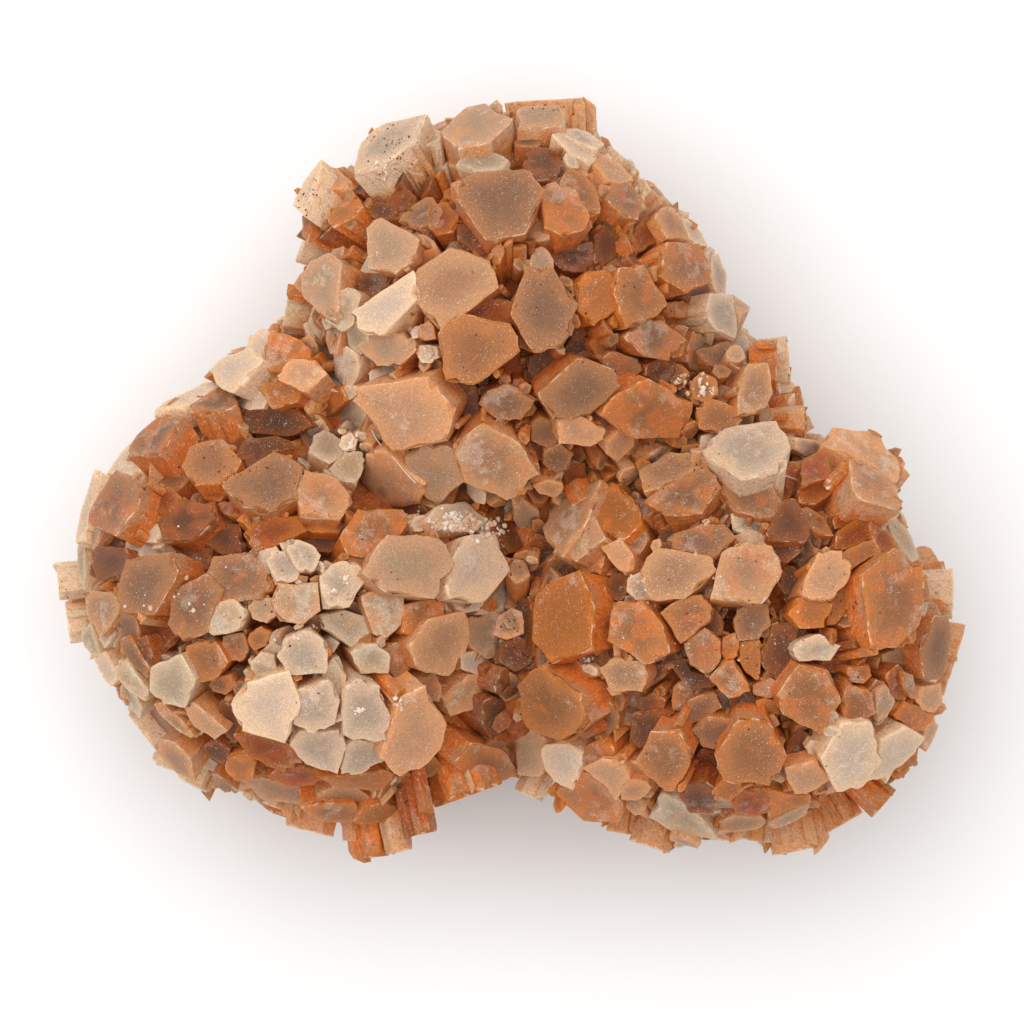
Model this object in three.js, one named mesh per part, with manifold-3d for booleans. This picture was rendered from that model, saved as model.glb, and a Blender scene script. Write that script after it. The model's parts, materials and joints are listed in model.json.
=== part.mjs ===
// An aragonite "sputnik": three balls of radiating six-sided prisms, grown together in one trefoil.
// Millimetres, +Z up. The trefoil lies flat and rests on three prisms that point straight down.
import * as THREE from "three";
import { mergeVertices } from "three/addons/utils/BufferGeometryUtils.js";
import Module from "manifold-3d";

const PLAN_STEP = 0.0625; // one step of the plan grid on which the crystals are laid out
const PLAN_MIDDLE = [512, 478]; // the plan point above the part's origin; the grid's second axis runs to -Y
const BALL_RADIUS = 14.06; // from a ball's middle to the end face of an average prism
const BALL_HEIGHT = 14.6; // of the balls' middles above the floor
const GAP_DEPTH = 2.6; // from the average end face to the solid heart that shows in the deepest gaps
const ROOT_DEPTH = 3.6; // how far the prisms reach in
const ROOT_TAPER = 0.74; // a prism's width at its root, as a share of its end face
const FLATTEST_SLOPE = 12; // degrees above the floor of the flattest end-on prism
const FLATTEST_FACE = 36; // degrees above the floor to which the end face of such a prism still looks up
const LYING_FLATNESS = 0.75; // a lying prism's height as a share of its width
const THINNEST_LYING = 1.1; // half the height of the thinnest of them
const LYING_ROOT = 0.43; // how near to the ball's middle a lying prism starts, as a share of the radius
const FLOOR_GAP = 0.45; // between the floor and the lowest prism that isn't a foot

const FOOT_WIDTH = 5.2; // across the corners of the end face of the prism that a ball rests on
const COVER_COUNT = 32; // places spread over a ball, of which the lower ones hold an underside prism
const COVER_WIDTHS = [5.28, 8.58]; // across the corners of the narrowest and the widest such prism
const COVER_FLATNESS = [0.75, 1]; // their height as a share of their width
const COVER_TURN = 3; // radians through which their corners may be turned
const COVER_NUDGE = [0.2, 0.04]; // how far they leave their even places, round the ball and up or down it
const COVER_SPREAD = 1.6; // between the shortest and the longest of them
const COVER_TOP = 0.2; // the upward part of their direction is no more than this
const FOOT_CLEARING = 0.93; // and the downward part no more than this, beside the foot
const FLANK = 0.3; // the downward part up to which a prism belongs to the flank
const UNDERSIDE = 0.7; // and that from which it belongs to the underside
const FLANK_DROP = 1.9; // how far a flank's prisms stay inside the ball's radius
const UNDERSIDE_DROP = 0.5; // and how far an underside's do

// Each prism seen end-on is a row of its rise above the ball's radius and the corners of its end face, on
// the plan grid. Each prism that lies on its side is a row of its level above the ball's middle, its
// half width, and the plan points of its root and tip.
const TOP_BALL = {
  middle: [505, 335],
  radius: BALL_RADIUS,
  endOn: [
    [1.6, [354, 173], [363, 142], [374, 126], [424, 115], [414, 141], [376, 168]],
    [0.6, [299, 291], [305, 266], [328, 255], [341, 264], [334, 320], [318, 312]],
    [0.8, [368, 230], [381, 219], [418, 240], [412, 260], [395, 273], [370, 268]],
    [1.2, [442, 131], [464, 108], [484, 104], [511, 119], [490, 141], [459, 148]],
    [0.8, [517, 118], [520, 107], [560, 104], [566, 125], [545, 127], [519, 128]],
    [1.6, [458, 199], [463, 181], [522, 169], [542, 192], [524, 233], [486, 239]],
    [0.2, [561, 184], [567, 170], [581, 172], [597, 192], [599, 212], [570, 215]],
    [0.8, [541, 190], [556, 184], [577, 194], [592, 225], [566, 235], [546, 228]],
    [-1.6, [545, 255], [560, 247], [590, 243], [599, 254], [585, 272], [564, 271]],
    [0.8, [669, 243], [699, 245], [708, 262], [711, 280], [688, 292], [661, 276]],
    [0.6, [707, 312], [712, 294], [732, 297], [737, 318], [736, 339], [718, 331]],
    [-0.6, [688, 362], [694, 332], [710, 335], [722, 340], [716, 375], [698, 375]],
    [1.0, [512, 316], [528, 270], [553, 272], [576, 305], [563, 345], [535, 352]],
    [0.3, [578, 310], [577, 285], [588, 273], [612, 273], [618, 310], [594, 325]],
    [0.8, [615, 295], [620, 271], [643, 267], [667, 305], [655, 316], [628, 328]],
    [0.3, [626, 338], [645, 319], [664, 323], [686, 341], [668, 360], [644, 356]],
    [1.2, [540, 394], [578, 360], [612, 372], [618, 387], [590, 416], [556, 420]],
    [1.2, [602, 416], [613, 401], [648, 381], [692, 404], [678, 438], [632, 438]],
    [-0.6, [559, 420], [580, 417], [604, 430], [602, 440], [590, 446], [560, 444]],
    [-0.2, [480, 405], [488, 393], [508, 385], [535, 401], [520, 420], [498, 421]],
    [-1.4, [441, 392], [456, 381], [474, 386], [480, 402], [476, 420], [455, 412]],
    [1.4, [356, 402], [361, 390], [428, 380], [452, 412], [444, 441], [394, 450]],
    [1.0, [455, 448], [484, 426], [518, 446], [536, 475], [506, 500], [466, 482]],
    [0.4, [404, 458], [427, 446], [452, 450], [462, 482], [440, 503], [421, 495]],
    [0.6, [360, 482], [368, 456], [383, 452], [424, 485], [418, 503], [389, 509]],
    [-1.0, [300, 405], [318, 390], [340, 388], [345, 402], [330, 415], [310, 428]],
    [0.9, [353, 313], [372, 300], [412, 273], [416, 300], [384, 335], [363, 333]],
    [0.6, [412, 292], [420, 271], [450, 250], [487, 262], [496, 288], [441, 331]],
    [-0.2, [358, 347], [371, 335], [398, 332], [415, 350], [400, 366], [378, 366]],
    [1.2, [439, 335], [462, 316], [508, 327], [518, 352], [475, 384], [448, 380]],
  ],
  lying: [
    [0.5, 42, [548, 150], [545, 99]],
    [0.5, 18, [598, 185], [622, 154]],
    [2.0, 24, [350, 325], [284, 314]],
    [-1.0, 14, [345, 266], [299, 248]],
  ],
};

const LEFT_BALL = {
  middle: [298, 612],
  radius: BALL_RADIUS,
  endOn: [
    [1.0, [128, 455], [131, 440], [157, 418], [184, 416], [170, 437], [160, 453]],
    [1.4, [89, 522], [92, 505], [116, 471], [142, 485], [137, 506], [116, 534]],
    [0.2, [184, 466], [190, 447], [221, 438], [240, 460], [228, 480], [197, 484]],
    [-0.2, [160, 520], [180, 501], [212, 504], [218, 518], [192, 540], [165, 541]],
    [-1.4, [205, 530], [222, 521], [240, 525], [242, 550], [230, 556], [207, 545]],
    [0.2, [92, 553], [100, 545], [125, 548], [131, 562], [120, 576], [97, 583]],
    [1.6, [118, 598], [128, 560], [172, 553], [178, 572], [155, 613], [124, 609]],
    [0.0, [85, 599], [92, 592], [116, 592], [122, 612], [100, 635], [88, 617]],
    [0.8, [173, 592], [207, 575], [224, 590], [208, 630], [184, 640], [170, 622]],
    [0.4, [209, 573], [216, 557], [252, 553], [272, 580], [262, 597], [222, 600]],
    [0.6, [205, 625], [215, 602], [235, 600], [248, 612], [240, 630], [215, 634]],
    [-1.2, [148, 615], [165, 607], [172, 625], [180, 635], [165, 650], [148, 640]],
    [0.2, [187, 650], [198, 640], [216, 642], [228, 662], [215, 680], [198, 680]],
    [0.8, [153, 668], [182, 655], [195, 680], [185, 706], [165, 702], [152, 690]],
    [1.0, [225, 485], [275, 450], [302, 468], [297, 497], [270, 511], [246, 505]],
    [0.8, [297, 480], [305, 470], [338, 478], [352, 500], [340, 517], [303, 514]],
    [0.6, [343, 537], [360, 510], [402, 511], [409, 528], [378, 557], [350, 553]],
    [1.6, [365, 572], [390, 536], [440, 540], [453, 563], [434, 597], [388, 590]],
    [0.8, [322, 575], [338, 562], [358, 563], [366, 580], [350, 605], [326, 607]],
    [0.0, [246, 533], [258, 520], [298, 516], [307, 530], [280, 543], [258, 550]],
    [0.6, [273, 600], [280, 585], [318, 583], [320, 610], [305, 622], [282, 620]],
    [-0.6, [320, 615], [345, 610], [370, 618], [372, 632], [352, 647], [325, 628]],
    [0.2, [363, 597], [372, 592], [405, 597], [405, 618], [388, 638], [375, 632]],
    [0.3, [405, 605], [430, 599], [445, 603], [440, 625], [430, 640], [405, 632]],
    [0.9, [412, 645], [430, 620], [465, 612], [470, 645], [450, 674], [420, 668]],
    [0.2, [352, 652], [362, 645], [378, 643], [390, 655], [388, 672], [362, 673]],
    [1.8, [280, 655], [287, 638], [312, 630], [328, 645], [326, 672], [290, 672]],
    [2.0, [234, 705], [250, 683], [290, 672], [300, 705], [285, 740], [245, 728]],
    [1.6, [298, 690], [330, 680], [340, 700], [335, 722], [315, 733], [296, 722]],
    [1.6, [345, 690], [358, 680], [380, 687], [390, 715], [385, 742], [345, 735]],
    [1.0, [293, 745], [302, 730], [340, 730], [345, 745], [337, 772], [308, 765]],
    [0.8, [345, 747], [360, 738], [382, 747], [382, 760], [362, 773], [343, 773]],
    [2.0, [383, 757], [402, 700], [426, 688], [446, 725], [437, 757], [402, 776]],
    [-2.0, [242, 780], [262, 777], [305, 787], [318, 796], [318, 806], [262, 800]],
    [0.3, [236, 735], [250, 730], [290, 742], [300, 762], [285, 770], [250, 757]],
    [-0.4, [445, 697], [470, 676], [485, 677], [490, 692], [474, 709], [452, 715]],
    [1.7, [455, 765], [473, 745], [503, 750], [516, 770], [512, 778], [483, 786]],
    [1.2, [446, 580], [466, 538], [497, 533], [510, 570], [484, 600], [453, 597]],
    [-0.6, [478, 614], [500, 584], [512, 583], [527, 597], [515, 611], [485, 614]],
    [-0.2, [468, 620], [495, 612], [518, 622], [513, 648], [488, 658], [469, 642]],
    [-0.2, [430, 517], [440, 505], [465, 502], [488, 520], [470, 531], [440, 529]],
  ],
  lying: [
    [0.0, 30, [205, 685], [142, 735]],
    [-2.0, 18, [222, 725], [190, 786]],
    [1.5, 17, [110, 580], [57, 584]],
    [0.5, 23, [110, 616], [66, 622]],
    [4.5, 16, [405, 745], [423, 834]],
    [3.0, 37, [447, 735], [469, 796]],
    [0.5, 26, [320, 785], [308, 832]],
    [0.5, 10, [352, 795], [351, 842]],
    [1.5, 14, [368, 795], [375, 858]],
    [2.5, 15, [385, 785], [400, 852]],
    [0.0, 17, [280, 770], [267, 806]],
  ],
};

const RIGHT_BALL = {
  middle: [735, 630],
  radius: BALL_RADIUS,
  endOn: [
    [1.6, [703, 450], [722, 428], [775, 421], [788, 448], [775, 470], [740, 478]],
    [0.6, [640, 470], [665, 453], [690, 453], [701, 463], [680, 480], [645, 490]],
    [0.8, [644, 500], [672, 482], [706, 467], [718, 485], [700, 512], [665, 514]],
    [0.4, [667, 537], [700, 524], [722, 524], [733, 537], [712, 559], [672, 547]],
    [0.9, [640, 570], [657, 548], [706, 556], [713, 570], [682, 597], [650, 598]],
    [1.4, [711, 596], [722, 553], [740, 542], [769, 547], [780, 569], [760, 601]],
    [0.7, [661, 612], [682, 597], [700, 595], [710, 608], [707, 620], [680, 641]],
    [-0.2, [733, 622], [738, 606], [766, 605], [768, 625], [757, 637], [738, 639]],
    [0.2, [719, 492], [724, 473], [765, 480], [780, 500], [771, 518], [735, 510]],
    [0.6, [766, 533], [779, 502], [794, 500], [811, 527], [803, 541], [773, 540]],
    [1.6, [850, 461], [866, 463], [893, 480], [900, 510], [862, 498], [853, 490]],
    [0.4, [824, 444], [835, 428], [875, 432], [902, 465], [895, 480], [855, 456]],
    [1.7, [863, 575], [893, 550], [920, 568], [922, 615], [905, 643], [872, 645]],
    [1.0, [800, 590], [818, 553], [840, 552], [851, 572], [832, 598], [812, 598]],
    [0.5, [788, 613], [797, 598], [820, 597], [830, 603], [822, 626], [800, 627]],
    [-0.4, [760, 660], [770, 625], [798, 622], [792, 655], [795, 668], [775, 682]],
    [1.3, [608, 640], [612, 605], [640, 600], [660, 625], [667, 650], [645, 662]],
    [0.9, [600, 668], [612, 657], [642, 662], [645, 674], [640, 690], [612, 690]],
    [1.3, [532, 640], [535, 593], [578, 572], [591, 605], [588, 648], [551, 662]],
    [1.0, [543, 532], [549, 508], [586, 487], [599, 480], [587, 518], [562, 555]],
    [0.6, [566, 552], [577, 526], [590, 512], [604, 538], [587, 550], [576, 560]],
    [1.5, [517, 685], [541, 668], [577, 695], [585, 722], [562, 743], [526, 728]],
    [1.2, [515, 738], [530, 731], [545, 742], [541, 775], [518, 775], [516, 760]],
    [0.6, [540, 748], [562, 742], [580, 752], [580, 770], [572, 790], [548, 778]],
    [0.6, [553, 793], [582, 775], [600, 780], [620, 805], [616, 823], [584, 822]],
    [0.4, [583, 769], [600, 760], [622, 762], [628, 778], [615, 800], [605, 785]],
    [1.5, [637, 760], [651, 732], [677, 732], [690, 755], [677, 788], [658, 788]],
    [1.6, [716, 755], [738, 720], [765, 720], [783, 755], [768, 786], [723, 778]],
    [1.4, [777, 695], [798, 666], [828, 672], [838, 700], [818, 731], [783, 712]],
    [0.3, [708, 678], [722, 661], [732, 661], [746, 683], [748, 690], [728, 697]],
    [0.4, [683, 643], [703, 628], [718, 640], [718, 660], [706, 673], [690, 664]],
    [0.6, [785, 768], [818, 760], [827, 780], [808, 792], [795, 793], [788, 780]],
    [-0.6, [650, 818], [662, 795], [680, 800], [700, 818], [715, 838], [685, 838]],
    [0.8, [846, 685], [873, 692], [874, 712], [853, 724], [843, 717], [842, 700]],
    [1.3, [822, 758], [842, 724], [872, 724], [880, 760], [862, 785], [838, 790]],
    [0.8, [880, 740], [905, 728], [923, 738], [915, 752], [888, 776], [868, 780]],
    [0.5, [925, 678], [921, 648], [935, 617], [948, 618], [951, 640], [943, 677]],
  ],
  lying: [
    [1.0, 24, [890, 592], [954, 592]],
    [-0.5, 34, [905, 640], [958, 657]],
    [1.5, 19, [840, 765], [885, 805]],
    [0.5, 21, [812, 765], [846, 824]],
    [0.0, 10, [762, 790], [757, 842]],
    [0.0, 27, [785, 780], [799, 852]],
    [0.5, 22, [672, 780], [650, 848]],
    [-0.5, 14, [628, 785], [620, 834]],
    [-1.0, 16, [560, 730], [528, 797]],
  ],
};

const LEFT_SHOULDER = {
  middle: [350, 425],
  radius: 8.6,
  endOn: [
    [0.6, [264, 368], [264, 350], [270, 331], [298, 338], [313, 352], [300, 375]],
    [1.4, [277, 376], [293, 360], [315, 361], [326, 374], [307, 392], [284, 382]],
    [1.2, [209, 370], [222, 357], [250, 348], [262, 360], [232, 392], [219, 386]],
  ],
  lying: [],
};

const RIGHT_SHOULDER = {
  middle: [690, 425],
  radius: 8.6,
  endOn: [
    [0.8, [740, 385], [748, 365], [768, 364], [772, 392], [760, 412], [738, 415]],
    [0.4, [697, 408], [712, 400], [735, 408], [742, 425], [722, 434], [700, 428]],
  ],
  lying: [
    [2.0, 28, [715, 366], [777, 366]],
    [-1.5, 32, [725, 370], [791, 366]],
    [3.0, 16, [740, 421], [805, 421]],
    [0.0, 11, [745, 447], [804, 447]],
    [-3.0, 9, [760, 446], [828, 450]],
  ],
};

// The deep valleys between the balls, where small clusters fill the middle of the trefoil.
const UPPER_VALLEY = { middle: [545, 525], radius: 9.4, endOn: [], lying: [] };
const LOWER_VALLEY = { middle: [520, 655], radius: 9.4, endOn: [], lying: [] };

const CRYSTAL_COLOUR = 0xc08a68;
const WELD_DISTANCE = 1e-4; // corners closer than this are one
const UPRIGHT_HINT = new THREE.Vector3(0.1, 0.2, 1); // along no prism, so every frame has an upper side

const wasm = await Module();
wasm.setup();

function solidOf(geometry) {
  geometry.deleteAttribute("normal");
  geometry.deleteAttribute("uv");
  const welded = mergeVertices(geometry, WELD_DISTANCE);
  return new wasm.Manifold(
    new wasm.Mesh({
      numProp: 3,
      vertProperties: welded.attributes.position.array,
      triVerts: new Uint32Array(welded.index.array),
    }),
  );
}

// The next of a seeded run of numbers between two limits, so that each build grows the same crystals.
const CHANCE_STEP = 16807;
const CHANCE_RANGE = 2147483647;
let seed = 7;
function chance(low, high) {
  seed = (seed * CHANCE_STEP) % CHANCE_RANGE;
  return THREE.MathUtils.lerp(low, high, seed / CHANCE_RANGE);
}

function onPlan([across, down]) {
  return [(across - PLAN_MIDDLE[0]) * PLAN_STEP, (PLAN_MIDDLE[1] - down) * PLAN_STEP];
}

function middleOf(ball) {
  return new THREE.Vector3(...onPlan(ball.middle), BALL_HEIGHT);
}

// A prism with the given corners as its end face, which runs back along its axis to its narrower root.
function prism(corners, axis, length, facing = axis) {
  const centre = new THREE.Vector3();
  corners.forEach((corner) => centre.addScaledVector(corner, 1 / corners.length));
  const frame = new THREE.Matrix4().lookAt(facing, new THREE.Vector3(), UPRIGHT_HINT);
  frame.setPosition(centre);
  const toLocal = frame.clone().invert();
  const root = centre.clone().addScaledVector(axis, -length).applyMatrix4(toLocal);
  const outline = corners.map((corner) => {
    const local = corner.clone().applyMatrix4(toLocal);
    return new THREE.Vector2(local.x, local.y);
  });
  if (THREE.ShapeUtils.isClockWise(outline)) outline.reverse();
  const body = new THREE.ExtrudeGeometry(new THREE.Shape(outline), { depth: length, bevelEnabled: false });
  body.translate(0, 0, -length);
  const points = body.attributes.position;
  for (let i = 0; i < points.count; i += 1) {
    if (points.getZ(i) < -length / 2) {
      points.setXYZ(i, root.x + points.getX(i) * ROOT_TAPER, root.y + points.getY(i) * ROOT_TAPER, root.z);
    }
  }
  return solidOf(body.applyMatrix4(frame));
}

// A prism seen end-on: its axis runs out from the ball's middle, and its corners are over their plan points.
function endOnPrism(ball, [rise, ...corners]) {
  const middle = middleOf(ball);
  const plan = corners.map(onPlan);
  const x = plan.reduce((sum, corner) => sum + corner[0], 0) / plan.length;
  const y = plan.reduce((sum, corner) => sum + corner[1], 0) / plan.length;
  const offset = Math.hypot(x - middle.x, y - middle.y);
  const slope = THREE.MathUtils.degToRad(FLATTEST_SLOPE);
  const reach = Math.max(ball.radius + rise, offset / Math.cos(slope));
  const level = Math.sqrt(reach ** 2 - offset ** 2);
  const axis = new THREE.Vector3(x - middle.x, y - middle.y, level).divideScalar(reach);
  const flattestRise = offset * Math.tan(THREE.MathUtils.degToRad(FLATTEST_FACE));
  const facing = new THREE.Vector3(x - middle.x, y - middle.y, Math.max(level, flattestRise)).normalize();
  const end = plan.map(([cornerX, cornerY]) => {
    const drop = (facing.x * (cornerX - x) + facing.y * (cornerY - y)) / facing.z;
    return new THREE.Vector3(cornerX, cornerY, middle.z + level - drop);
  });
  return prism(end, axis, reach - ball.radius + ROOT_DEPTH, facing);
}

// A flattened six-sided end face around a point, across the given axis.
function hexagonAt(centre, axis, halfWidth, halfHeight, turn) {
  const side = new THREE.Vector3(-axis.y, axis.x, 0).normalize();
  if (side.lengthSq() < 0.5) side.set(1, 0, 0);
  const up = new THREE.Vector3().crossVectors(axis, side);
  return Array.from({ length: 6 }, (_, i) => {
    const angle = turn + (i * Math.PI) / 3;
    return centre
      .clone()
      .addScaledVector(side, Math.cos(angle) * halfWidth)
      .addScaledVector(up, Math.sin(angle) * halfHeight);
  });
}

// A prism that lies level, with its flattened end face at the tip.
function lyingPrism(ball, [level, halfWidth, root, tip]) {
  const height = BALL_HEIGHT + level;
  const end = new THREE.Vector3(...onPlan(tip), height);
  const axis = end.clone().sub(new THREE.Vector3(...onPlan(root), height)).normalize();
  const width = halfWidth * PLAN_STEP;
  const corners = hexagonAt(end, axis, width, Math.max(width * LYING_FLATNESS, THINNEST_LYING), 0);
  return prism(corners, axis, axis.dot(end.clone().sub(middleOf(ball))) - LYING_ROOT * ball.radius);
}

// Evenly spread directions, each nudged a little.
function spreadDirections(count) {
  const golden = Math.PI * (3 - Math.sqrt(5));
  return Array.from({ length: count }, (_, i) => {
    const height = 1 - (2 * i + 1) / count;
    const across = Math.sqrt(1 - height ** 2);
    const [roundNudge, heightNudge] = COVER_NUDGE;
    const angle = i * golden + chance(-roundNudge / 2, roundNudge / 2);
    const nudged = height + chance(-heightNudge / 2, heightNudge / 2);
    return new THREE.Vector3(Math.cos(angle) * across, Math.sin(angle) * across, nudged).normalize();
  });
}

// The prisms of the flanks and the underside, which lie below those of the plan.
function undersidePrisms(ball, otherBalls) {
  const middle = middleOf(ball);
  const count = Math.round(COVER_COUNT * (ball.radius / BALL_RADIUS) ** 2);
  return spreadDirections(count).flatMap((axis) => {
    const tip = middle.clone().addScaledVector(axis, ball.radius);
    const buried = otherBalls.some((other) => middleOf(other).distanceTo(tip) < other.radius - GAP_DEPTH);
    if (buried || axis.z > COVER_TOP || axis.z < -FOOT_CLEARING) return [];
    const under = THREE.MathUtils.smoothstep(-axis.z, FLANK, UNDERSIDE);
    const drop = THREE.MathUtils.lerp(FLANK_DROP, UNDERSIDE_DROP, under);
    const reach = ball.radius - drop + chance(-COVER_SPREAD / 2, COVER_SPREAD / 2);
    const width = chance(...COVER_WIDTHS) / 2;
    const lowest = middle.z + axis.z * reach - width * Math.hypot(axis.x, axis.y);
    const trim = Math.max(0, FLOOR_GAP - lowest) / Math.max(FLANK, -axis.z);
    const centre = middle.clone().addScaledVector(axis, reach - trim);
    const corners = hexagonAt(centre, axis, width, width * chance(...COVER_FLATNESS), chance(0, COVER_TURN));
    return [prism(corners, axis, reach - trim - ball.radius + ROOT_DEPTH)];
  });
}

// The prism that a ball rests on: it points straight down and ends in a flat six-sided face on the floor.
function footPrism(ball) {
  const down = new THREE.Vector3(0, 0, -1);
  const sole = new THREE.Vector3(...onPlan(ball.middle), 0);
  return prism(hexagonAt(sole, down, FOOT_WIDTH / 2, FOOT_WIDTH / 2, 0), down, ROOT_DEPTH + 1);
}

function heart(ball) {
  const { x, y, z } = middleOf(ball);
  return solidOf(new THREE.IcosahedronGeometry(ball.radius - GAP_DEPTH, 1).translate(x, y, z));
}

const footedBalls = [TOP_BALL, LEFT_BALL, RIGHT_BALL];
const balls = [...footedBalls, LEFT_SHOULDER, RIGHT_SHOULDER, UPPER_VALLEY, LOWER_VALLEY];
const solids = [
  ...footedBalls.map(footPrism),
  ...balls.flatMap((ball) => [
    heart(ball),
    ...ball.endOn.map((row) => endOnPrism(ball, row)),
    ...ball.lying.map((row) => lyingPrism(ball, row)),
    ...undersidePrisms(ball, balls.filter((other) => other !== ball)),
  ]),
];
const grown = wasm.Manifold.union(solids).getMesh();

const geometry = new THREE.BufferGeometry();
geometry.setAttribute("position", new THREE.BufferAttribute(grown.vertProperties, 3));
geometry.setIndex(new THREE.BufferAttribute(grown.triVerts, 1));
const stone = new THREE.MeshStandardMaterial({ color: CRYSTAL_COLOUR, roughness: 0.5 });
const cluster = new THREE.Mesh(geometry, stone);
cluster.name = "aragonite_cluster";

const group = new THREE.Group();
group.add(cluster);

export default group;
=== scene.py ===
"""An aragonite "sputnik": three balls of radiating six-sided prisms, grown together in one trefoil.

Metres, +Z up. The trefoil lies flat on three of its prisms, and the camera looks straight down on it.
"""

import json
import math
import random

import bmesh
import bpy
import numpy as np
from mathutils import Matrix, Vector
from mathutils.bvhtree import BVHTree

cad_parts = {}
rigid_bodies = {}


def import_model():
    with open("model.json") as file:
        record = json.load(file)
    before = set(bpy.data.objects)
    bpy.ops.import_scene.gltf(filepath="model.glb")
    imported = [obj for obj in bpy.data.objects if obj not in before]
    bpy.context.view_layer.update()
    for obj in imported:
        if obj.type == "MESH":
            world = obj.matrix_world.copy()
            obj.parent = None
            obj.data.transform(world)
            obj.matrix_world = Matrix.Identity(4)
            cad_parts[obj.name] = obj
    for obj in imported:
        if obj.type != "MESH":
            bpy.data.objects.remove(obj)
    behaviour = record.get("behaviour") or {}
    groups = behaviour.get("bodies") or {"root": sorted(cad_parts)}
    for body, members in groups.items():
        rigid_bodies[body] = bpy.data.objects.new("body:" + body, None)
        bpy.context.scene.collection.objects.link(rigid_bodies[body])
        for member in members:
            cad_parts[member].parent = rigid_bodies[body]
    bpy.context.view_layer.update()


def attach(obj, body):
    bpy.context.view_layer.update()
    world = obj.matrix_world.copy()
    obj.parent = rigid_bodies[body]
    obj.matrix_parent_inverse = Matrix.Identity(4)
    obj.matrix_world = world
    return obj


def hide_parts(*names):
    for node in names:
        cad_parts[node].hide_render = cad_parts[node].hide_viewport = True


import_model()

# ---------------------------------------------------------------------------------------------
# One aragonite prism. Three crystals grow through each other to make a six-sided column, so its
# long sides are fluted, and its end is a flat face with a worn rim. It is modelled once, a unit
# wide and a unit deep, and each prism of the cluster is a copy fitted to its own six corners.
# ---------------------------------------------------------------------------------------------

MM = 0.001
FULL_TURN = 2 * math.pi
NEAR_ZERO = 1e-6
CORNERS = 6
SIDE_COLUMNS = 4  # strips of each of a prism's six sides, which carry the flutes
SMALL_SIDE_COLUMNS = 2  # of a small prism
TINY_SIDE_COLUMNS = 1  # of a tiny one
BELTS = (0.05, 0.16, 0.4)  # depths at which the sides have a belt of corners
UPWARDS = 0.9  # the least upward part of an end face's normal
CORNER_WEAR = 0.05  # how far along each side a corner is rounded, as a share of that side

# What follows is in shares of a prism's half width, up to the rarity of its chips.
RIM_WIDTH = 0.045  # of the worn rim of the end face
TINY_RIM_WIDTH = 0.12
FACE_RING = 0.35  # the ring of the end face inside the rim
RIM_RADIUS = 0.9999  # past which a corner of the end face is on its rim
FLUTES = (-0.04, 0.03)  # how far a strip of a side stands in or out
CORNER_FLUTE = 0.4  # the part of that which a strip at a corner keeps
BELT_WEAR = (-0.035, 0.03)  # how far a corner of a belt stands in or out
DOME = (-0.03, 0.05)  # the rise of the end face's middle
FACE_GRAIN = 0.012  # the unevenness of the end face
RIM_DROP = 0.02  # of the whole rim
CHIP_DEPTH = 0.22  # of the deepest chip out of a rim
CHIP_WIDTH = 0.15  # of the widest one
CHIP_RARITY = 4.5  # the higher, the more of a rim is whole

# The tones of the crystals, from dark to pale.
TONES = ["umber", "mauve", "rust", "smoky", "tawny", "amber"]
TONES += ["rosy", "beige", "sage", "peach", "milk", "cream"]


def model_prism(name, side_columns, face_rings, belts):
    bpy.ops.object.select_all(action="DESELECT")
    bpy.ops.mesh.primitive_cylinder_add(
        vertices=CORNERS * side_columns, radius=1, depth=1, location=(0, 0, -0.5)
    )
    prism = bpy.context.object
    prism.name = name
    bpy.ops.object.transform_apply(location=True, rotation=True, scale=True)
    bpy.ops.object.mode_set(mode="EDIT")
    bpy.ops.mesh.select_mode(type="FACE")
    bpy.ops.mesh.select_all(action="DESELECT")
    shape = bmesh.from_edit_mesh(prism.data)
    for face in shape.faces:
        face.select = face.normal.z > UPWARDS
    bmesh.update_edit_mesh(prism.data)
    for width in face_rings:
        bpy.ops.mesh.inset(thickness=width, depth=0)
    bpy.ops.mesh.poke()
    for depth in belts:
        bpy.ops.mesh.select_all(action="SELECT")
        bpy.ops.mesh.bisect(plane_co=(0, 0, -depth), plane_no=(0, 0, 1))
    bpy.ops.object.mode_set(mode="OBJECT")
    return prism


class Blank:
    """A modelled prism, read so that copies of it can be fitted to other corners."""

    def __init__(self, name, side_columns, face_rings, belts):
        self.model = model_prism(name, side_columns, face_rings, belts)
        mesh = self.model.data
        self.columns = CORNERS * side_columns
        place = np.array([vertex.co for vertex in mesh.vertices])
        self.depth = -place[:, 2].clip(max=0)
        self.radius = np.hypot(place[:, 0], place[:, 1]).clip(max=1)
        self.turn = (np.arctan2(place[:, 1], place[:, 0]) / FULL_TURN) % 1
        self.column = np.rint(self.turn * self.columns).astype(int) % self.columns
        self.top = self.depth < NEAR_ZERO
        self.weights = self.share_of_corners(len(place))
        self.loop_vertex = np.array([loop.vertex_index for loop in mesh.loops])
        self.loop_turn = self.turn[self.loop_vertex]
        for face in mesh.polygons:
            self.close_turn(list(face.loop_indices))

    def share_of_corners(self, count):
        """How much each vertex follows each of the six corners."""
        weights = np.zeros((count, CORNERS))
        rows = np.arange(count)
        shifts = (-CORNER_WEAR, 0, CORNER_WEAR)
        for shift in shifts:
            spot = (self.turn * CORNERS + shift) % CORNERS
            first = np.floor(spot).astype(int) % CORNERS
            share = spot - np.floor(spot)
            weights[rows, first] += (1 - share) / len(shifts)
            weights[rows, (first + 1) % CORNERS] += share / len(shifts)
        return weights * self.radius[:, None]

    def close_turn(self, loops):
        """Keeps a face that crosses the seam in one stretch, and gives its hub the mean turn."""
        rim = [i for i in loops if self.radius[self.loop_vertex[i]] > NEAR_ZERO]
        turns = self.loop_turn[rim]
        if turns.max() - turns.min() > 0.5:
            turns = np.where(turns < 0.5, turns + 1, turns)
        self.loop_turn[rim] = turns
        self.loop_turn[[i for i in loops if i not in rim]] = turns.mean()


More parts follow.
